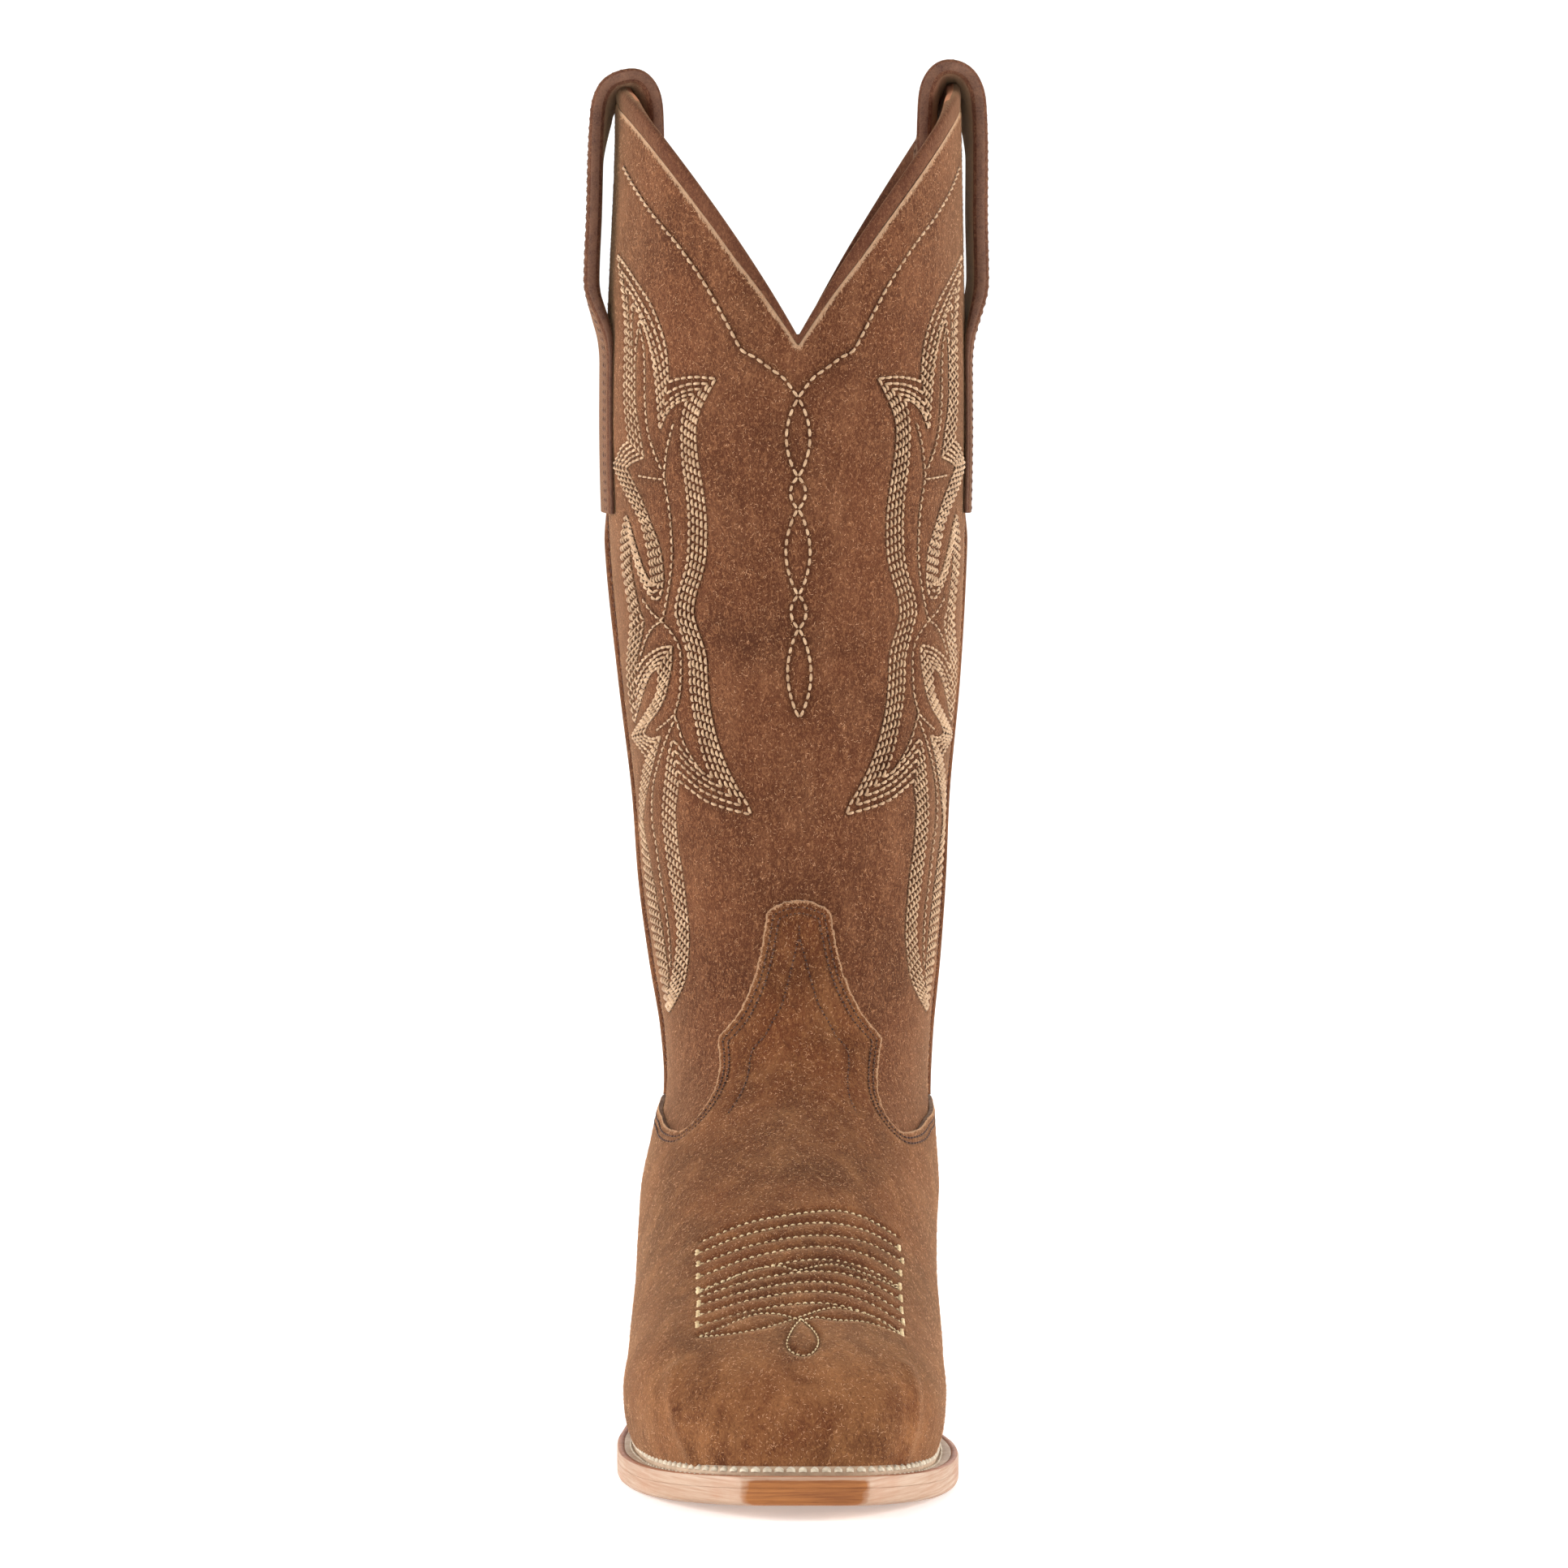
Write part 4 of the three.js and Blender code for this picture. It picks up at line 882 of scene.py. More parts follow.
# Single rows beside the ribbon.
VEINS = [
    [(54.6, 328), (52.2, 322), (51.5, 315), (51.2, 306.7), (49.8, 298), (46.6, 291), (43.3, 286)],
    [(38.5, 300), (40, 296), (41.2, 292), (42, 287), (42.3, 284), (41.5, 280), (40, 273), (39.3, 262.4),
     (40, 255), (42, 247), (44.3, 241.4), (48.6, 239), (53, 235), (57, 229.7)],
    [(54, 247.4), (49.2, 243.5), (44.7, 241), (40.7, 238), (38, 234.7), (36.8, 230.7), (37, 224),
     (37.8, 218.5), (40, 213)],
    [(55, 284), (48.4, 283.5), (42.7, 283.2)],
    [(40, 213), (43.6, 210.6), (49.4, 207.6)],
    [(40, 213), (38.5, 209.7), (36.3, 204.6), (32.6, 199.5), (29, 195.6)],
    [(40.3, 211), (45, 204), (48.7, 198), (52.6, 191.4), (54.5, 185), (54.6, 179), (52.6, 174), (50.8, 167),
     (48.8, 159), (47.2, 151.6), (47, 143), (48, 135.5)],
]
V_LINE = [
    (71, 376), (58, 368), (40.7, 355.4), (33.2, 348), (27.8, 341.2), (22.9, 333.3), (18.8, 326),
    (16.2, 321.7), (12.5, 319.7),
]
V_END = [(12.5, 319.7), (8, 316.3), (4.2, 313.5), (0, 307.8)]
# The chain down the middle: the heights of its knots, and half the width of each link.
CHAIN = [307.5, 284.5, 275, 249.5, 239.5, 213]
CHAIN_HALF = [3.4, 2.2, 3.5, 2.2, 3.4]

# The vamp's top edge on one side: over the tongue's top to its shoulder, down to the corner, round the wing.
TONGUE = [(0, 158.5), (3.2, 158), (5.8, 157), (8.8, 155.2)]
TONGUE_SIDE = [
    (8.8, 155.2), (9.5, 150.5), (10.7, 143.5), (12.3, 136.4), (15.1, 129), (18.5, 122.8), (24.8, 116),
]
WING = [
    (24.8, 116), (24.2, 110.8), (24.1, 105.3), (25.4, 99.8), (28.4, 95), (32.6, 91), (37.5, 88.5), (43, 88),
    (50, 88.6), (56, 90.5),
]
TONGUE_ROW = [(0, 147.5), (1.4, 141.8), (3, 134.8), (4.9, 127.2), (7.6, 121.6), (9.8, 116.8)]
TONGUE_ROW_LOW = [(9.8, 116.8), (12.7, 113.4), (13.8, 110), (14.1, 104), (15.6, 99), (18.5, 94.5)]

# The wrinkle rows across the toes: [left end, peak, right end] as (distance round, height).
WRINKLES = [
    [(-26, 60.5), (7.5, 68.9), (36, 60.5)],
    [(-25.3, 58), (7.5, 66), (37, 57.4)],
    [(-25, 55.3), (7.5, 63.4), (35.3, 54.8)],
    [(-24.7, 52.3), (7.5, 60.5), (34.5, 52)],
    [(-24.5, 51), (7.5, 57.9), (34.3, 49.3)],
    [(-24, 49.4), (7.5, 55.6), (34, 46.8)],
    [(-24, 47.3), (7.5, 53.5), (34.1, 44.4)],
    [(-24.2, 45.1), (7.5, 51), (33.2, 42.5)],
]
WRINKLE_TOP = [(-25, 63.3), (-8.5, 69.3), (10, 71.6), (21.6, 69.6), (36, 63.3)]
WRINKLE_CROSSINGS = [
    [(-24.6, 51.9), (-14.6, 56.1), (-9.5, 58), (-2.1, 59.2), (2.9, 58.2), (6.2, 58.7), (13.6, 59.1),
     (24.2, 55.7), (34.3, 51.6)],
    [(-24.3, 42.9), (-17.4, 45.4), (-8.9, 48.3), (-2.3, 48.7), (4.3, 47.5), (8.7, 47.9), (13.7, 47.1),
     (22.5, 46), (33.1, 42.3)],
    [(-24.3, 42.9), (-13, 44.5), (-3.5, 46.2), (4.3, 48.1), (10.5, 49.5), (16, 49.4), (25.8, 46.5),
     (33.1, 42.3)],
]
TEARDROP = [
    (4.3, 47.6), (2.2, 46.1), (0, 44), (-1.1, 42.2), (0.1, 40.7), (2.8, 40), (5.5, 40.5), (7.6, 42.2),
    (7.9, 44), (6.4, 46), (4.3, 47.6),
]
# How unevenly the cut edge runs, in station steps and in shares of the half girth.
TORN = (0.005, 0.0009)
# The left ends of the fourth and fifth rows share a knot.
SHARED_KNOT = 8
# Where the stiff toe box turns from its front to its side.
TOE_RIDGE = [(32.5, 37.5), (35.5, 33.5), (38.3, 29.3), (43.5, 22.5), (48, 15)]

# The counter's top edge seen from the back, from the middle outwards.
COUNTER = [(0, 141), (6, 139.5), (11, 134), (14, 124), (18, 114), (25, 105), (34, 98), (44, 95)]


def round_ribbon(a_edge, e_edge):
    """The rows of one leg, as flat lines."""
    first, last = smooth_line(a_edge), smooth_line(e_edge)
    count = max(int(max(walked(first)[-1], walked(last)[-1]) / 1.2), 4)
    a_line, e_line = spread(first, count), spread(last, count)
    return [a_line + (e_line - a_line) * k / (RIBBON_ROWS - 1) for k in range(RIBBON_ROWS)]


def chain_lines():
    lines = []
    for top, bottom, half in zip(CHAIN[:-1], CHAIN[1:], CHAIN_HALF):
        z = np.linspace(top, bottom, 26)
        swing = half * np.sin(math.pi * (top - z) / (top - bottom)) ** 0.8
        lines += [np.stack([side * swing, z], 1) for side in (1, -1)]
    return lines


def embroidery(back):
    """Flat lines of a shaft panel's embroidery: (ribbon rows, single rows, the chain down the middle)."""
    ribbon = [row for a_edge, e_edge in RIBBON for row in round_ribbon(a_edge, e_edge)]
    single = [smooth_line(v) for v in VEINS]
    v_line = np.vstack([smooth_line(V_LINE), smooth_line(V_END)[1:]])
    if back:
        share = np.clip(np.abs(v_line[:, 0]) / 76, 0, 1)
        v_line[:, 1] -= (SCALLOP_FRONT_Z - SCALLOP_BACK_Z) * (1 - share) ** SCALLOP_POWER
    chain = [line for line in chain_lines() if not back or line[0, 1] < 300]
    return ribbon, single, chain + [v_line, v_line * [-1, 1]]


# ---------------------------------------------------------------- the shaft
def bead_height(u):
    return 2.8 + 3.4 * np.minimum(ear_share(u) / 0.2, 1)


def over_shaft_end(p):
    """How far a point lies above the line where the shaft's panels and lining end over the foot."""
    return p[..., 2] - np.interp(p[..., 1], [60, 150], [80, 92])


def shaft_edge(back):
    """The (t, u) outline of a shaft panel."""
    middle = middle_u(back)
    low_side, high_side = middle - PANEL_HALF, middle + PANEL_HALF
    u = np.linspace(low_side, high_side, 340)
    top = np.stack([t_at_height(u, top_edge(wrap(u)) - bead_height(wrap(u)) - 0.3, 0, 9), u], 1)
    low_u = np.linspace(high_side, low_side, 90)
    bottom = np.stack([find_t(low_u, 0.0, over_shaft_end, 6, 13), low_u], 1)
    right = np.stack([np.linspace(top[-1, 0], bottom[0, 0], 260), np.full(260, high_side)], 1)
    left = np.stack([np.linspace(bottom[-1, 0], top[0, 0], 260), np.full(260, low_side)], 1)
    return clear_edge(np.vstack([top, right, bottom, left]))


def near_lines(lines, h, step=0.5):
    """A search tree over 3D stitch lines, brought down from their height h to the last's surface."""
    return tree_of(np.vstack([resample(points - normals * h, step) for points, normals in lines]))


def dent_at(tree, base, reach):
    """How deep in a stitched dent each point is, from 0 to 1."""
    return np.exp(-((distances(tree, base) / reach) ** 2))


def fading(tree, start, reach):
    """A shader attribute that is strongest at the tree's points and gone a little past reach."""
    return lambda base: np.clip(start - distances(tree, base) / reach, 0, 1)


def shaft_panel(side):
    """A shaft panel, dented along its embroidery and swelling a little between, and the embroidery's rows."""
    back = side == "back"
    ribbon, single, chain = embroidery(back)
    ribbon, single = ([flat_line(line, PANEL_OUT, back, flip) for line in flats for flip in (False, True)]
                      for flats in (ribbon, single))
    chain = [flat_line(line, PANEL_OUT, back) for line in chain]
    tree = near_lines(ribbon + single + chain, PANEL_OUT, 0.6)
    edge = shaft_edge(back)
    cut = edge[edge[:, 0] < 5.5]

    def dent_and_shade(base):
        return dent_at(tree, base, 0.95)

    def swell(base):
        above_foot = np.clip((base[:, 2] - 100) / 60, 0, 1)
        return -0.38 * dent_and_shade(base) + 0.22 * np.sin(base[:, 2] / 19 + base[:, 0] / 23) * above_foot

    # The dent look paints shade into the suede along the stitched dents.
    looks = {"dent_and_shade": dent_and_shade, "raw": fading(tree_of(at_edge(cut)), 1.1, 1.9)}
    heights, materials = (PANEL_IN, PANEL_OUT), [SUEDE, RAW_EDGE]
    name = f"shaft_{side}"
    piece = panel(f"{name}_suede", edge, heights, materials, 1.3, 4.0, swell, looks=looks, nap=15000)
    stands_for(piece, name)
    stitch_piece(f"embroidery_{side}", ribbon, THREAD, 2.6, 2.35, 0.95, 0.8)
    stitch_piece(f"fine_rows_{side}", single, THREAD, 2.5, 2.1, 0.7, 0.62)
    stitch_piece(f"chain_rows_{side}", chain, THREAD, 2.9, 2.5, 1.0, 0.85)


# How far in from the last the open end of the binding reaches at an ear, with the lining in it.
EAR_THICK = 3.0
BEAD_STEPS = 8


def bead_section(low_h, high_h):
    """(share of the strip's height, distance off the last) round the strip: flat below, round on top."""
    middle, half = (low_h + high_h) / 2, (high_h - low_h) / 2
    angles = [math.pi * k / BEAD_STEPS for k in range(BEAD_STEPS + 1)]
    outside = [(-0.35, low_h), (0.0, high_h), (0.25, high_h + 0.12), (0.5, high_h + 0.14)]
    fold = [(0.7 + 0.3 * math.sin(a), middle + half * math.cos(a)) for a in angles]
    return outside + fold + [(0.5, low_h - 0.1), (0.25, low_h - 0.08)]


def bead(side):
    """The folded binding along a scallop: a strip with a round top, over the panel's raw edge."""
    middle = middle_u(side == "back")
    u = np.linspace(middle - 0.4975, middle + 0.4975, 260)
    top = top_edge(wrap(u))
    t_top, t_low = t_at_height(u, top - 0.2, 0, 9), t_at_height(u, top - bead_height(wrap(u)), 0, 9)
    to_ear = smoothstep(np.abs(u - middle), 0.27, 0.40)
    rings = []
    for (share, h), (_, wide_h) in zip(bead_section(-0.95, 1.15), bead_section(-EAR_THICK, 1.15)):
        rings.append(skin(t_low + (t_top - t_low) * share, u, h + (wide_h - h) * to_ear))
    open_end = np.abs(u - middle) > 0.36
    fold_middle, last = 4 + BEAD_STEPS // 2, len(rings) - 1
    index = [int(is_open and fold_middle <= c < last) for is_open in open_end[:-1] for c in range(len(rings))]
    name = f"top_bead_{side}"
    stands_for(loft(f"{name}_fold", np.stack(rings, 1), [BINDING, LINING_CUT], index + [1, 1]), name)


def lining_shell(name, edge):
    heights = (LINING_IN, LINING_OUT)
    piece = panel(f"{name}_leather", edge, heights, [LINING, RAW_EDGE], 3.0, 2.4, roll=0.1)
    stands_for(piece, name)


# Across a side welt's fold: (share of its half width, distance off the last).
HALF_FOLD = [(-1, 1.2), (-1, 1.8), (-0.85, 2.25), (-0.5, 2.65), (0, 2.9)]
SIDE_FOLD = HALF_FOLD + [(-across, h) for across, h in HALF_FOLD[-2::-1]]


def side_welt(name, side):
    """The folded strip over a side seam, with a row of stitches down each side of its fold."""
    t = np.linspace(t_at_height(np.array([side * 0.5]), 284, 0, 9)[0], seam_ends(side)[0] - 0.02, 160)
    middle = side * 0.5 + (seam_u(t, side) - side * 0.5) * smoothstep(t, 7.5, 9.5)
    free = 0.25 + 0.75 * (1 - smoothstep(last_point(t, middle)[:, 2], 262, 276))
    rings = [skin(t, middle + across * 0.011, 1.2 + (h - 1.2) * free) for across, h in SIDE_FOLD]
    stands_for(loft(f"{name}_fold", np.stack(rings, 1), [SUEDE]), name)
    rows = [sewing_line(skin(t, middle + off, 1.55), outward(t, middle + off)) for off in (-0.017, 0.017)]
    stitch_piece(f"{name}_stitches", rows, THREAD_TONE, 2.6, 2.1, 0.55, 0.5)


# ---------------------------------------------------------------- the pull straps
# (height, distance off the last) down a strap's middle, from its outer end to its inner end.
STRAP_PATH = [
    (272, 2.55), (292, 2.6), (310, 2.7), (322, 3.1), (330, 4.5), (338, 6), (346, 6.3), (360, 6.2), (375, 6.4),
    (388, 6.3), (396, 5.4), (401.4, 2.4), (403.2, -1.6), (401.6, -5.8), (396.6, -8.6), (388, -9.4),
    (378, -9.3), (367, -7.6), (357, -3.9), (350, -3.1), (340, -3),
]
STRAP_WIDTH, STRAP, STRAP_END, HALF_AROUND = 32.0, 4.5, 1.8, 152.0
# How far a loop's outer and inner sides close in to the back, and how far its crown slopes down there.
STRAP_LEAN, STRAP_LEAN_IN, STRAP_SLOPE = 2.2, 3.4, 5.0
# The share of a strap's width over which its edges are rounded, and the points across it.
STRAP_EDGE_SHARE, LEAST_EDGE = 0.035, 0.3
ACROSS_STRAP = np.concatenate([[-0.5, -0.494, -0.48], np.linspace(-0.46, 0.46, 23), [0.48, 0.494, 0.5]])


def strap_place(path, centre, across, shift, flare, lift):
    """Points along a strap: across runs from -0.5 to 0.5 over its width, shift is off its middle layer.

    Where the strap is sewn down it bends round the shaft, and where it stands free it is flat.
    """
    height, off = path[:, 0], path[:, 1]
    tangent = unit(np.gradient(path, axis=0))
    free = smoothstep(height, 324, 342) * smoothstep(off, -2, 4)
    side = math.copysign(1, centre)
    behind = 0.5 + across * side
    out = off + tangent[:, 0] * shift + flare * free * abs(across - 0.5 * side)
    out = out - STRAP_LEAN * behind * smoothstep(height, 376, 392) * smoothstep(off, 0, 4)
    out = out + STRAP_LEAN_IN * behind * smoothstep(height, 370, 390) * smoothstep(-off, 3, 7)
    raised = lift * smoothstep(height, 345, 395) - STRAP_SLOPE * behind * smoothstep(height, 385, 402)
    t = t_at_height(np.zeros(len(path)), height + raised - tangent[:, 1] * shift, 0, 8)
    sideways = unit(last_point(t, centre + 0.01) - last_point(t, centre - 0.01))
    flat = skin(t, centre, out) + sideways * across * STRAP_WIDTH
    bent = skin(t, centre + across * STRAP_WIDTH / HALF_AROUND, out)
    return bent * (1 - free[:, None]) + flat * free[:, None]


def round_off(across):
    """How much of a strap's thickness is left near its edges."""
    past = max(abs(across) - (0.5 - STRAP_EDGE_SHARE), 0) / STRAP_EDGE_SHARE
    return math.sqrt(max(1 - past**2, LEAST_EDGE**2))


def pull_strap(name, centre, flare, lift):
    """A strap looped over an ear, with two rows of stitches down each side."""
    path = resample(smooth_line(STRAP_PATH, 10), 1.2)
    thickness = STRAP_END + (STRAP - STRAP_END) * smoothstep(path[:, 0], 316, 340)
    columns = []
    for sign, order in ((1, ACROSS_STRAP), (-1, ACROSS_STRAP[::-1])):
        for across in order:
            shift = sign * thickness / 2 * round_off(across)
            columns.append(strap_place(path, centre, across, shift, flare, lift))
    count = len(columns)
    edges = (0, count // 2 - 2, count // 2 - 1, count // 2, count - 2, count - 1)
    index = [int(c in edges) for c in range(count)] * (len(path) - 1) + [1, 1]
    piece = loft(f"{name}_suede", np.stack(columns, 1), [SUEDE_STRAP, STRAP_EDGE], index, 60)
    stands_for(piece, name)
    level = thickness / 2 - 0.03
    rows = []
    for across in (-0.41, 0.41, -0.34, 0.34):
        top, over = (strap_place(path, centre, across, level + up, flare, lift) for up in (0, 1))
        rows.append(sewing_line(top, unit(over - top)))
    stitch_piece(f"{name}_stitches", rows, THREAD_TONE, 2.7, 2.2, 0.55, 0.5)


# ---------------------------------------------------------------- the foot
def side_line(side, t_from, t_to, count):
    t = np.linspace(t_from, t_to, count)
    return np.stack([t, seam_u(t, side)], 1)


def seam_ends(side):
    """Where the side seam meets the wing's height and the welt, as station indices."""
    t = np.linspace(8, 14, 400)
    p = last_point(t, seam_u(t, side))
    return t[np.argmin(np.abs(p[:, 2] - WING_END_Z))], t[np.argmin(np.abs(above_welt(p)))]


def toe_welt_line(t_medial, t_lateral):
    """The welt line round the toe, from the medial seam to the lateral one."""
    medial = WELT_LINE[WELT_LINE[:, 0] > t_medial + 0.03][::-1]
    lateral = WELT_LINE[WELT_LINE[:, 0] > t_lateral + 0.03][1:] * [1, -1]
    return np.vstack([medial, lateral])


def heel_welt_line(t_lateral, t_medial):
    """The welt line round the heel, from the lateral seam, where u is past 1, to the medial one."""
    lateral = WELT_LINE[WELT_LINE[:, 0] < t_lateral - 0.03]
    medial = WELT_LINE[WELT_LINE[:, 0] < t_medial - 0.03][::-1][1:]
    return np.vstack([lateral * [1, -1] + [0, 2], medial])


def below_top(back, tops, lows, gap, count):
    """A foot piece's outline below its top edge: down one seam, along the welt and up the other seam."""
    first, second = seam_order(back)
    around = 2 if back else 0
    down = side_line(second, tops[second], lows[second], count)[1:] + [0, around - gap]
    up = side_line(first, lows[first], tops[first], count)[:-1] + [0, gap]
    return down, (heel_welt_line if back else toe_welt_line)(lows[second], lows[first]), up


def cover_edge(half, back, torn):
    """The vamp's or the counter's (t, u) outline and top edge, from one flat half of its top edge."""
    ends = {side: seam_ends(side) for side in (1, -1)}
    tops, lows = ({side: ends[side][k] for side in ends} for k in (0, 1))
    first, second = seam_order(back)
    first_u = seam_u(tops[first], first)[0] + COVER_GAP
    second_u = (2 if back else 0) + seam_u(tops[second], second)[0] - COVER_GAP
    start, end = (np.stack(from_flat(side * half[:, 0], half[:, 1], back), 1) for side in (-1, 1))
    top = dense(np.vstack([[tops[first], first_u], start[::-1], end[1:], [tops[second], second_u]]), 0.9)
    cut = top + RNG.normal(0, TORN, top.shape) * (np.abs(top[:, 1:]) < 0.38) if torn else top
    down, welt, up = below_top(back, tops, lows, COVER_GAP, 70)
    return clear_edge(np.vstack([cut, dense(down, 1.0), dense(welt, 1.0), dense(up, 1.0)])), top


def foot_lining_edge(back):
    """A foot lining's (t, u) outline: level on top where the shaft's lining ends, down to the welt."""
    t = np.linspace(8, 14, 500)
    cut = lambda p: over_shaft_end(p) + 0.3
    tops = {side: t[np.argmin(np.abs(cut(last_point(t, seam_u(t, side)))))] for side in (1, -1)}
    lows = {side: seam_ends(side)[1] for side in (1, -1)}
    first, second = seam_order(back)
    last_u = seam_u(tops[second], second)[0] + (2 if back else 0)
    top_u = np.linspace(seam_u(tops[first], first)[0], last_u, 80)
    top = np.stack([find_t(top_u, 0.0, cut, 6, 14), top_u], 1)
    down, welt, up = below_top(back, tops, lows, 0, 24)
    return thin_out(np.vstack([top, down[:-1], welt, up[1:]]), 2.2)


def inset_rows(top, insets):
    """Rows running beside a top edge, by millimetres below it."""
    place = at_edge(top)
    normal = outward(top[:, 0], top[:, 1])
    side = np.cross(normal, unit(np.gradient(place, axis=0)))
    side *= -np.sign(side[len(side) // 2, 2] or 1)
    rows = []
    for by in insets:
        keep = distances(tree_of(place), place + side * by) > by * 0.93
        rows.append(sewing_line((place + side * by + normal * COVER_OUT)[keep], normal[keep]))
    return rows


def wrinkle_rows():
    """The rows across the toes, flat: each rises steeply from its ends and flattens to its peak."""
    rows = []
    for left, peak, right in WRINKLES:
        knees = [((end[0] + peak[0]) / 2, end[1] + (peak[1] - end[1]) * 0.72) for end in (left, right)]
        rows.append(smooth_line([left, knees[0], peak, knees[1], right]))
    return rows + [smooth_line(WRINKLE_TOP)]


def toe_swell(base):
    """Slow unevenness of the lasted leather over the foot."""
    x, y = base[:, 0], base[:, 1]
    return 0.16 * np.sin(x / 7 + 1.3 * np.sin(y / 17)) * np.sin(y / 11 + 0.7)


def cover_piece(name, node, edge, spacing, relief, looks, nap):
    heights = (COVER_IN, COVER_OUT)
    piece = panel(name, edge, heights, [SUEDE_FOOT, RAW_EDGE], spacing, 4.0, relief, looks=looks, nap=nap)
    stands_for(piece, node)


def vamp_piece():
    """The vamp, dented along its rows and raised over the toe box's ridges."""
    half = np.vstack([smooth_line(TONGUE), smooth_line(TONGUE_SIDE)[1:], smooth_line(WING)[1:]])
    edge, top = cover_edge(half, False, True)
    both = (False, True)
    rows = [flat_line(row, COVER_OUT) for row in wrinkle_rows()]
    fancy = flat_curves(WRINKLE_CROSSINGS + [TEARDROP], COVER_OUT)
    tone = inset_rows(top, (2.0, 3.8)) + flat_curves((TONGUE_ROW, TONGUE_ROW_LOW), COVER_OUT, False, both)
    tone.append(flat_line([(0, 151.5), (0, 147.5)], COVER_OUT))
    ridges = near_lines(flat_curves([TOE_RIDGE], COVER_OUT, False, both), COVER_OUT)
    row_tree, tone_tree = near_lines(rows + fancy, COVER_OUT), near_lines(tone, COVER_OUT)

    def relief(base):
        sewn = 0.8 * dent_at(row_tree, base, 1.0) + 0.3 * dent_at(tone_tree, base, 0.7)
        box = 1.0 * dent_at(ridges, base, 2.7) - 0.3 * dent_at(ridges, base, 7.0)
        return 0.2 - sewn + box + toe_swell(base)

    looks = {
        # The dent look paints shade along the wrinkle rows and, fainter, along the tone rows.
        "dent_and_shade": lambda base: np.maximum(dent_at(row_tree, base, 0.9), 0.45 * dent_at(tone_tree, base, 0.55)),
        "raw": fading(tree_of(at_edge(top)), 1.05, 1.0),
        "rubbed": lambda base: smoothstep(-base[:, 1], 70, 122),
    }
    cover_piece("vamp_suede", "vamp", edge, 1.05, relief, looks, 15000)
    vamp_rows(rows, fancy, tone)


def vamp_rows(rows, fancy, tone):
    """The vamp's stitches, sunk in their dents, knots at the rows' ends, and painted shade of needle holes
    between.
    """
    ends = [line[k] for line in wrinkle_rows()[:-1] for k in (0, -1)]
    del ends[SHARED_KNOT]
    knots = [flat_line([end + [0, 0.7], end - [0, 0.7]], COVER_OUT) for end in ends]
    for name, lines, look, depth, pitch, size in (
        ("row_end_knots", knots, THREAD_TOE, 0.2, 1.5, (1.7, 1.5, 1.2)),
        ("wrinkle_stitches", rows, THREAD_TOE, 0.36, 2.2, (1.5, 0.6, 0.55)),
        ("toe_stitches", fancy, THREAD_TOE, 0.3, 1.7, (1.2, 0.5, 0.45)),
        ("vamp_stitches", tone, THREAD_TONE, 0.04, 2.4, (1.2, 0.55, 0.55)),
    ):
        sunk = [(points - normals * depth, normals) for points, normals in lines]
        stitch_piece(name, sunk, look, pitch, *size)
    # Near-black marks between the tone stitches: painted shade of the needle holes.
    stitch_piece("vamp_needle_holes", tone, HOLE_SHADE, 2.4, 0.7, 0.62, 0.44, phase=1.0)


def counter_piece():
    edge, top = cover_edge(smooth_line(COUNTER), True, False)
    tone = inset_rows(top, (1.8, 3.6))
    tone_tree = near_lines(tone, COVER_OUT)
    dent_and_shade = lambda base: 0.8 * dent_at(tone_tree, base, 0.8)
    # The dent look paints shade along the tone rows.
    looks = {"dent_and_shade": dent_and_shade, "raw": fading(tree_of(at_edge(top)), 1.1, 0.9)}
    cover_piece("counter_suede", "counter_cover", edge, 1.3, lambda base: -0.3 * dent_and_shade(base), looks, 4000)
    stitch_piece("counter_stitches", tone, THREAD_TONE, 2.4, 1.9, 0.6, 0.55)


# ---------------------------------------------------------------- the bottom
# How far short of their meeting place the welt and the rand end, in shares of a loop's step.
BUTT_GAP = 0.06


def sole_rings(profile):
    """Sole loops at each (inset, height over the underside) of a profile."""
    loops = [(sole_loop(inset), height) for inset, height in profile]
    return [np.column_stack([loop, outsole_bottom(loop[:, 1]) + height]) for loop, height in loops]


def tip_wear(points):
    """How worn the sole's edge is, from 0 to 1: only under the toe, up to the middle of the welt."""
    ahead = 1 - smoothstep(points[:, 1], TOE_Y + 0.5, TOE_Y + 2.5)
    low = 1 - smoothstep(points[:, 2] - outsole_bottom(points[:, 1]), WELT_LOW + 1.4, WELT_LOW + 2.6)
    return ahead * low * (1 - smoothstep(np.abs(points[:, 0] - 1.5), 13.5, 21.5))


def sole_strip(profile, front):
    """Rings of a strip round the front or the back of the sole, up to where the two strips butt together."""
    rings = np.stack(sole_rings(profile), 1)
    y = sole_loop(0)[:, 1]
    ahead = y < WELT_END_Y
    order = np.where(~ahead)[0]
    if front:
        order = np.roll(np.arange(len(y)), -int(order[-1]) - 1)[: int(ahead.sum())]
    ends = []
    for last, beyond in ((order[0], order[0] - 1), (order[-1], (order[-1] + 1) % len(y))):
        share = (WELT_END_Y - y[last]) / (y[beyond] - y[last]) - BUTT_GAP
        ends.append(rings[last] + (rings[beyond] - rings[last]) * max(share, 0.02))
    return np.concatenate([ends[:1], rings[order], ends[1:]])


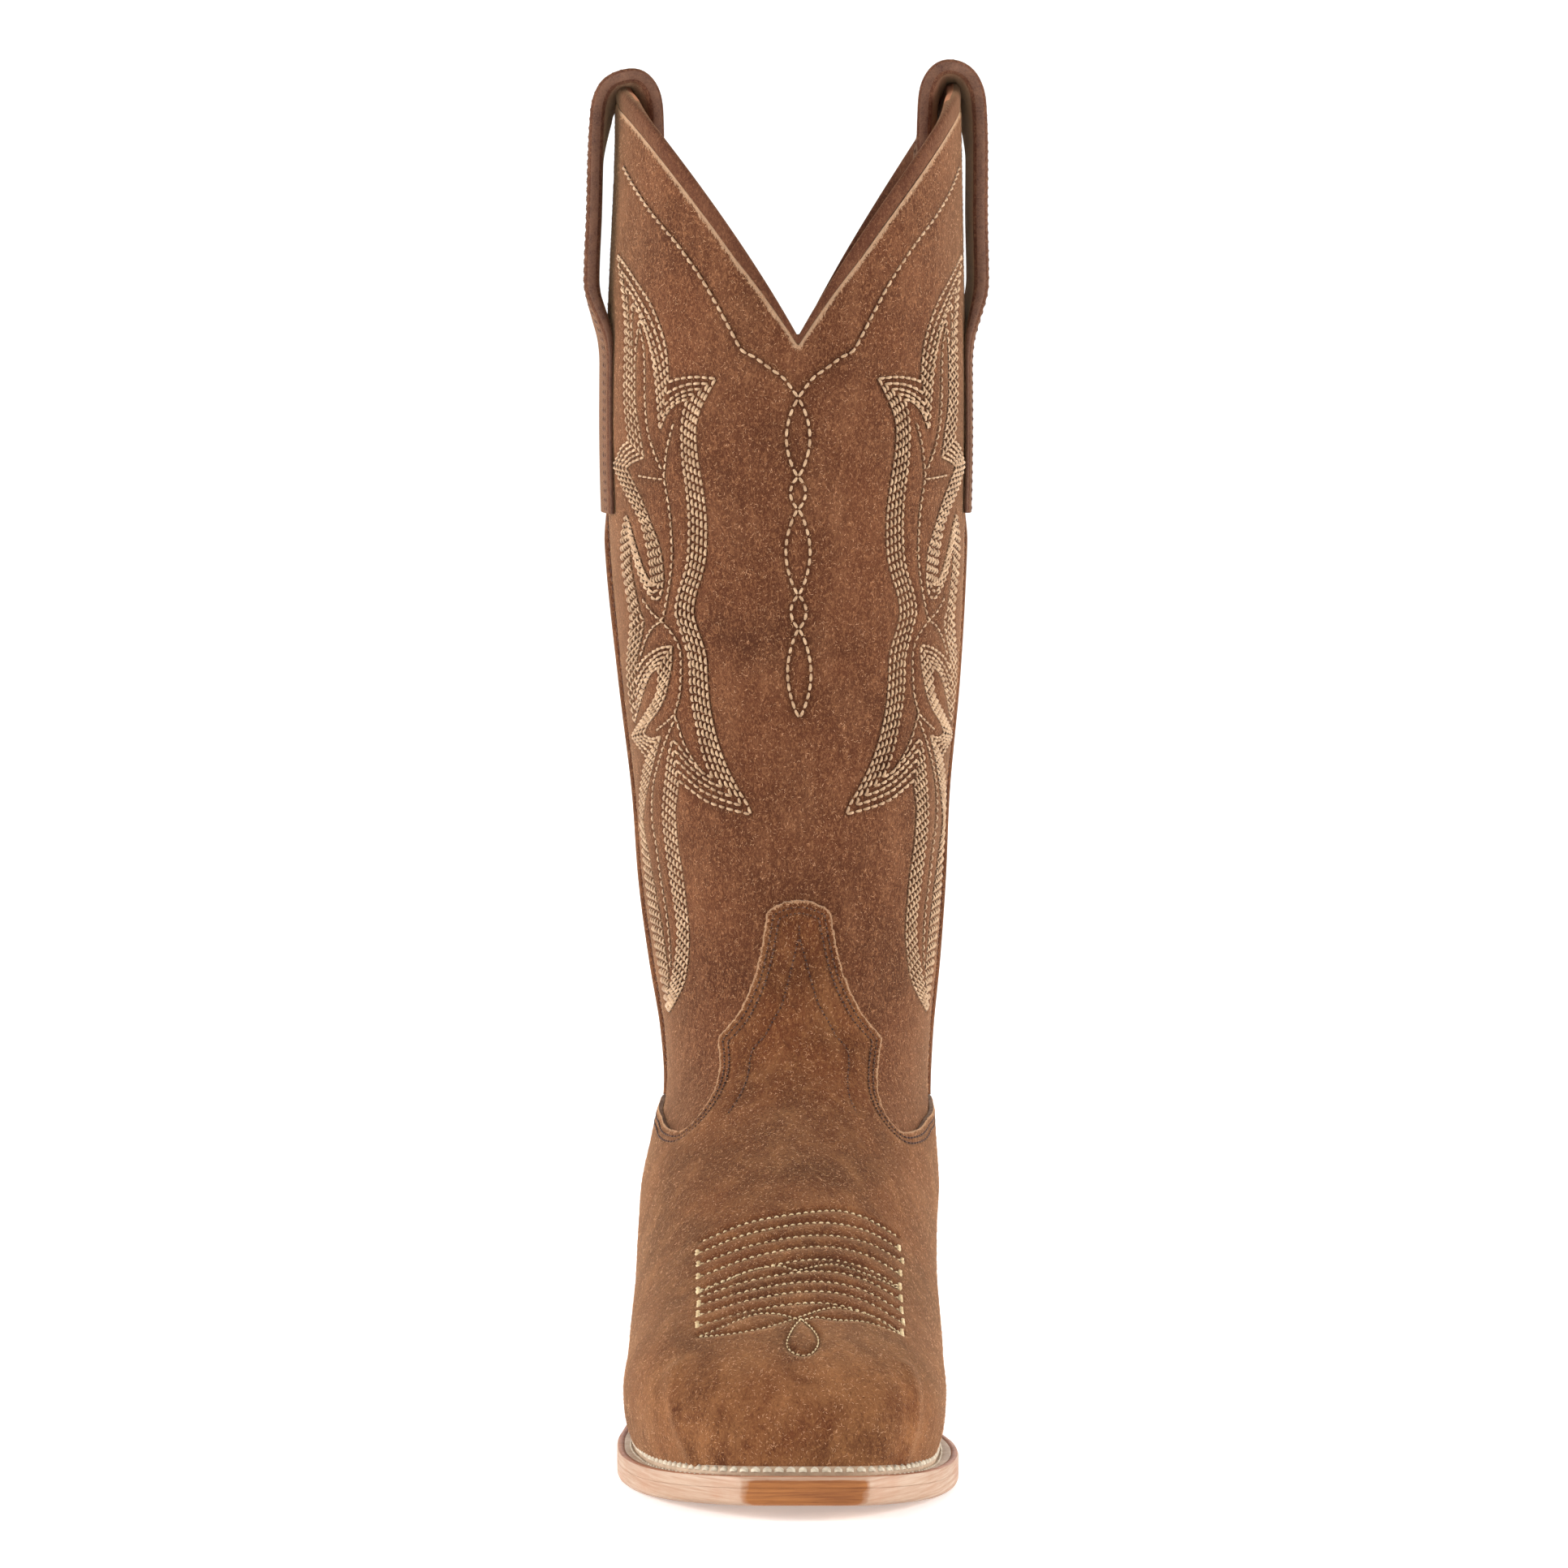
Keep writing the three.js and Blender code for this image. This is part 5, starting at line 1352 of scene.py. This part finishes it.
def welt_pieces():
    """The welt and the heel rand: a pared edge flush with the outsole's, a burnished rim and a flat top."""
    edge = [(0.06, WELT_LOW - 0.28), (0.0, WELT_LOW - 0.22), (0.0, WELT_LOW + 1.5), (0.0, WELT_HIGH - 0.8)]
    rim = [(0.28, WELT_HIGH - 0.2), (0.8, WELT_HIGH), (1.5, WELT_HIGH + 0.05)]
    top = [(2.1, WELT_HIGH - 0.22), (2.7, WELT_HIGH + 0.05), (4.5, WELT_HIGH)]
    inner = [(13.0, WELT_HIGH), (13.0, WELT_LOW)]
    looks = [1] * len(edge) + [2] * len(rim) + [0] * len(top) + [0, 1]
    for name in ("welt", "heel_rand"):
        rings = sole_strip(edge + rim + top + inner, name == "welt")
        index = looks * (len(rings) - 1) + [1, 1]
        wear = {"tip": tip_wear(rings.reshape(-1, 3))}
        piece = loft(f"{name}_strip", rings, [WELT, SOLE_EDGE, WELT_RIM], index, attributes=wear)
        stands_for(piece, name)


# Across the storm ridge: (distance from the upper, height over the welt).
RIDGE_SECTION = [
    (-1.2, -0.3), (2.0, -0.3), (2.15, 0.5), (2.0, 1.4), (1.5, 2.2), (0.8, 2.6), (0.1, 2.55), (-1.2, 1.9),
]
# The station index at the ridge's ends.
RIDGE_END_T = 12.9
# How far in and down the ridge's ends sink, and how far from its ends it starts and stops sinking.
RIDGE_SINK_IN, RIDGE_SINK_DOWN, RIDGE_FADE, RIDGE_STEP = 3.6, 1.2, (4, 34), 0.9


def storm_ridge():
    """The welt's raised inner edge against the upper, and the thick stitches that hold it down."""
    line = dense(toe_welt_line(RIDGE_END_T, RIDGE_END_T), RIDGE_STEP)
    foot = skin(line[:, 0], line[:, 1], COVER_OUT)
    away = unit(outward(line[:, 0], line[:, 1]) * [1, 1, 0])
    foot[:, 2] = outsole_bottom(foot[:, 1]) + WELT_HIGH
    up = np.tile([0, 0, 1.0], (len(foot), 1))
    from_end = RIDGE_STEP * np.minimum(np.arange(len(foot)), np.arange(len(foot))[::-1])[:, None]
    foot = foot - (away * RIDGE_SINK_IN + up * RIDGE_SINK_DOWN) * (1 - smoothstep(from_end, *RIDGE_FADE))
    rings = np.stack([foot + away * out + up * height for out, height in RIDGE_SECTION], 1)
    loft("welt_storm_ridge", rings, [WELT])
    on_ridge = sewing_line(foot + away * 1.75 + up * 1.75, unit(away * 0.75 + up), 0.3)
    stitch_piece("welt_stitches", [on_ridge], THREAD_WELT, 3.3, 3.0, 1.9, 1.2, "welt_leather")
    beside = sewing_line(foot + away * 2.9 + up * 0.02, up, 0.3)
    stitch_piece("welt_foot_stitches", [beside], THREAD_WELT, 2.4, 1.9, 0.8, 0.6, "welt_leather")


def bridge(count):
    """Faces across a sole loop: the tip's strip, quads between the two sides, and the heel's strip."""
    tip = list(range(TIP_STEPS - 1))
    medial = [len(tip) + k for k in range(SIDE_STEPS)]
    lateral = [count - 1 - k for k in range(SIDE_STEPS)]
    toe_end = [lateral[0], *tip, medial[0], medial[1], lateral[1]]
    quads = [[medial[k], medial[k + 1], lateral[k + 1], lateral[k]] for k in range(1, SIDE_STEPS - 2)]
    heel = range(medial[-1] + 1, lateral[-1])
    return [toe_end, *quads, [lateral[-2], medial[-2], medial[-1], *heel, lateral[-1]]]


def outsole_piece():
    softened = [(2.0, 0.0), (1.0, 0.25), (0.35, 0.8), (0.05, 1.5)]
    loops = sole_rings(softened + [(0.0, 2.4), (0.0, 4.2), (0.0, 4.94), (0.06, 5.0)])
    count = len(loops[0])
    sides, flat = grid_faces(len(loops), count), bridge(count)
    top = [[k + (len(loops) - 1) * count for k in f] for f in flat]
    points = np.vstack(loops)
    index = [0] * len(sides) + [1] * len(flat + top)
    wear = {"tip": tip_wear(points)}
    piece = make_object("outsole_leather", points, sides + flat + top, [SOLE_EDGE, SOLE], index, 40, wear)
    stands_for(piece, "outsole")


# ---------------------------------------------------------------- the heel
HEEL_TOP_HALF, HEEL_BOTTOM_HALF, HEEL_HEIGHT, HEEL_BOTTOM_BACK = 31.0, 25.5, 44.0, 119
# The gap between two lifts, and how much narrower the heel is at its breast than at its widest.
LIFT_GAP, BREAST_TAPER = 0.12, 0.03


def heel_loop(z, inset):
    """The heel's outline at a height, drawn in by inset."""
    rise = z / HEEL_HEIGHT
    half = HEEL_BOTTOM_HALF + (HEEL_TOP_HALF - HEEL_BOTTOM_HALF) * rise
    back = HEEL_BOTTOM_BACK + (HEEL_Y - 0.6 - HEEL_BOTTOM_BACK) * max(rise, 0) ** 1.3
    breast = BREAST_Y + 4 - 5 * rise + inset
    straight = back - half * 1.05
    angle = np.linspace(0, math.pi, 90)
    side = half - inset
    narrow = side * (1 - BREAST_TAPER)
    front = np.linspace(narrow, -narrow, 14)
    sides = np.linspace(0.15, 0.85, 6)
    widths, side_y = side * (1 - BREAST_TAPER + BREAST_TAPER * sides), breast + (straight - breast) * sides
    around = straight + (back - inset - straight) * np.sin(angle) ** 0.92
    x = np.concatenate([front, -widths, -side * np.cos(angle), widths[::-1]])
    y = np.concatenate([np.full(14, breast), side_y, around, side_y[::-1]])
    return np.stack([x, y, np.full(len(x), z)], 1)


def heel_layer(name, low, high, look, top=None, soften=0.35):
    """One layer of the heel with softened edges. top(y) is its upper face's height where it isn't level."""
    rings = []
    lower_half = [(0.0, soften), (0.04, 0.1), (0.12, 0.0)]
    upper_half = [(1 - share, inset) for share, inset in lower_half[::-1]]
    for share, inset in lower_half + [(0.5, 0.03)] + upper_half:
        ring = heel_loop(low + (high - low) * share, inset)
        if top:
            ring[:, 2] = low + (top(ring[:, 1]) - low) * share
        rings.append(ring)
    stands_for(loft(f"{name}_layer", np.stack(rings, 0), [look]), name)


def seat_height(y):
    """A little below the outsole's underside over the heel."""
    return outsole_bottom(np.maximum(y, BREAST_Y)) - 0.1


def heel_pieces():
    heel_layer("heel_cap", LIFT_GAP, HEEL_CAP, RUBBER, None, 0.5)
    for k in range(HEEL_LIFTS):
        low = HEEL_CAP + k * HEEL_LIFT + LIFT_GAP
        heel_layer(f"heel_lift_{k + 1}", low, low + HEEL_LIFT - LIFT_GAP, HEEL_EDGE)
    low = HEEL_CAP + HEEL_LIFTS * HEEL_LIFT + LIFT_GAP
    heel_layer("heel_wedge", low, HEEL_HEIGHT - 4, HEEL_EDGE, seat_height)


def disc(name, centre, radius, z_of, depth, look):
    """A round plug with a softened face looking down."""
    rings = []
    angle = np.linspace(0, 2 * math.pi, 20, endpoint=False)
    for share, rise in ((0.2, 0.0), (0.8, 0.0), (0.97, 0.05), (1.0, 0.2), (1.0, depth)):
        x, y = centre[0] + radius * share * np.cos(angle), centre[1] + radius * share * np.sin(angle)
        rings.append(np.stack([x, y, z_of(y) + rise], 1))
    stands_for(loft(f"{name}_end", np.stack(rings, 0), [look]), name)


def nails_and_pegs():
    for k, place in enumerate([(0, 110), (15, 100), (-15, 100), (14, 80), (-14, 80)]):
        disc(f"heel_nail_{k + 1}", place, 2.2, lambda y: np.full(y.shape, 0.01), 8, STEEL)
    for k, y in enumerate([-6, 8, 22, 36, 50]):
        for side, name, inward in ((0, "lateral", 9), (1, "medial", -9)):
            place = (float(outline_x(y, side)) + inward, y)
            disc(f"peg_{name}_{k + 1}", place, 1.2, lambda at: outsole_bottom(at) - 0.06, 6, WOOD)


# ---------------------------------------------------------------- the boot
def linings():
    for name, edge in (("lining_front", shaft_edge(False)), ("lining_back", shaft_edge(True))):
        lining_shell(name, thin_out(edge, 2.2))
    lining_shell("vamp_lining", foot_lining_edge(False))
    lining_shell("heel_lining", foot_lining_edge(True))


def repaint():
    """Gives the hidden pieces that keep their CAD shape their own worked materials."""
    looks = {
        "toe_puff": CLOTH, "vamp_interlining": CLOTH, "counter_stiffener": CLOTH, "insole": SOLE,
        "sock_liner": LINING, "cork_filler": CORK, "shank_cover": SOLE, "heel_seat_filler": CORK,
        "shank": STEEL,
    }
    for name, look in looks.items():
        mesh = frame["nodes"][name].data
        mesh.materials.clear()
        mesh.materials.append(look)


shaft_panel("front")
shaft_panel("back")
linings()
bead("front")
bead("back")
side_welt("side_welt_medial", 1)
side_welt("side_welt_lateral", -1)
pull_strap("pull_strap_lateral", -0.5, 1.2, 0)
pull_strap("pull_strap_medial", 0.5, 0.0, 2.8)
vamp_piece()
counter_piece()
welt_pieces()
storm_ridge()
outsole_piece()
heel_pieces()
nails_and_pegs()
repaint()


# ---------------------------------------------------------------- floor, light and camera
def bowl_floor():
    """A pale floor that curves up far away on every side."""
    look = Shader("floor")
    look.finish(Base_Color=(0.9, 0.9, 0.9), Roughness=0.9, Emission_Color=(1, 1, 1), Emission_Strength=0.3)
    angle = np.linspace(0, 2 * math.pi, 96, endpoint=False)
    rings = [
        np.stack([r * np.cos(angle), r * np.sin(angle), np.full(len(angle), z)], 1)
        for r, z in [(1.0, 0), (2.0, 0), (3.2, 0.02), (4.0, 0.3), (4.6, 0.9), (5.0, 1.9), (5.1, 3.6)]
    ]
    sides = [[a, d, c, b] for a, b, c, d in grid_faces(len(rings), len(angle))]
    mesh = bpy.data.meshes.new("floor")
    mesh.from_pydata(np.vstack(rings).tolist(), [], [list(range(len(angle)))] + sides)
    mesh.materials.append(look.material)
    mesh.shade_smooth()
    add("floor", mesh)


def area_light(name, place, aim, size, power):
    light = bpy.data.lights.new(name, "AREA")
    light.shape, light.size, light.size_y, light.energy = "RECTANGLE", size, size * 0.8, power
    lamp = add(name, light)
    lamp.location = place
    lamp.rotation_euler = (Vector(aim) - Vector(place)).to_track_quat("-Z", "Y").to_euler()


def lights():
    aim = (0, 0, 0.18)
    area_light("left", (-2.6, -0.5, 1.0), aim, 1.8, 84)
    area_light("right", (2.6, -0.4, 0.9), aim, 1.8, 76)
    area_light("front", (-0.5, -3.2, 0.5), (0, 0, 0.1), 1.4, 13)
    area_light("back", (0.3, 2.6, 1.9), aim, 1.8, 26)
    world = bpy.data.worlds.new("studio")
    world.use_nodes = True
    world.node_tree.nodes["Background"].inputs["Color"].default_value = (1, 1, 1, 1)
    world.node_tree.nodes["Background"].inputs["Strength"].default_value = 0.28
    bpy.context.scene.world = world


def camera():
    """Straight at the toe from 2.2 m away, 0.36 m up and tilted down a little."""
    made = bpy.data.cameras.new("camera")
    made.sensor_width, made.lens, made.clip_end = 36, 172.27, 50
    eye = add("camera", made)
    eye.location = Vector(to_row((-4.3, -2200, 360)))
    eye.rotation_euler = (math.radians(85.7), 0, 0)
    bpy.context.scene.camera = eye


bowl_floor()
lights()
camera()
bpy.context.scene.view_settings.view_transform = "Standard"
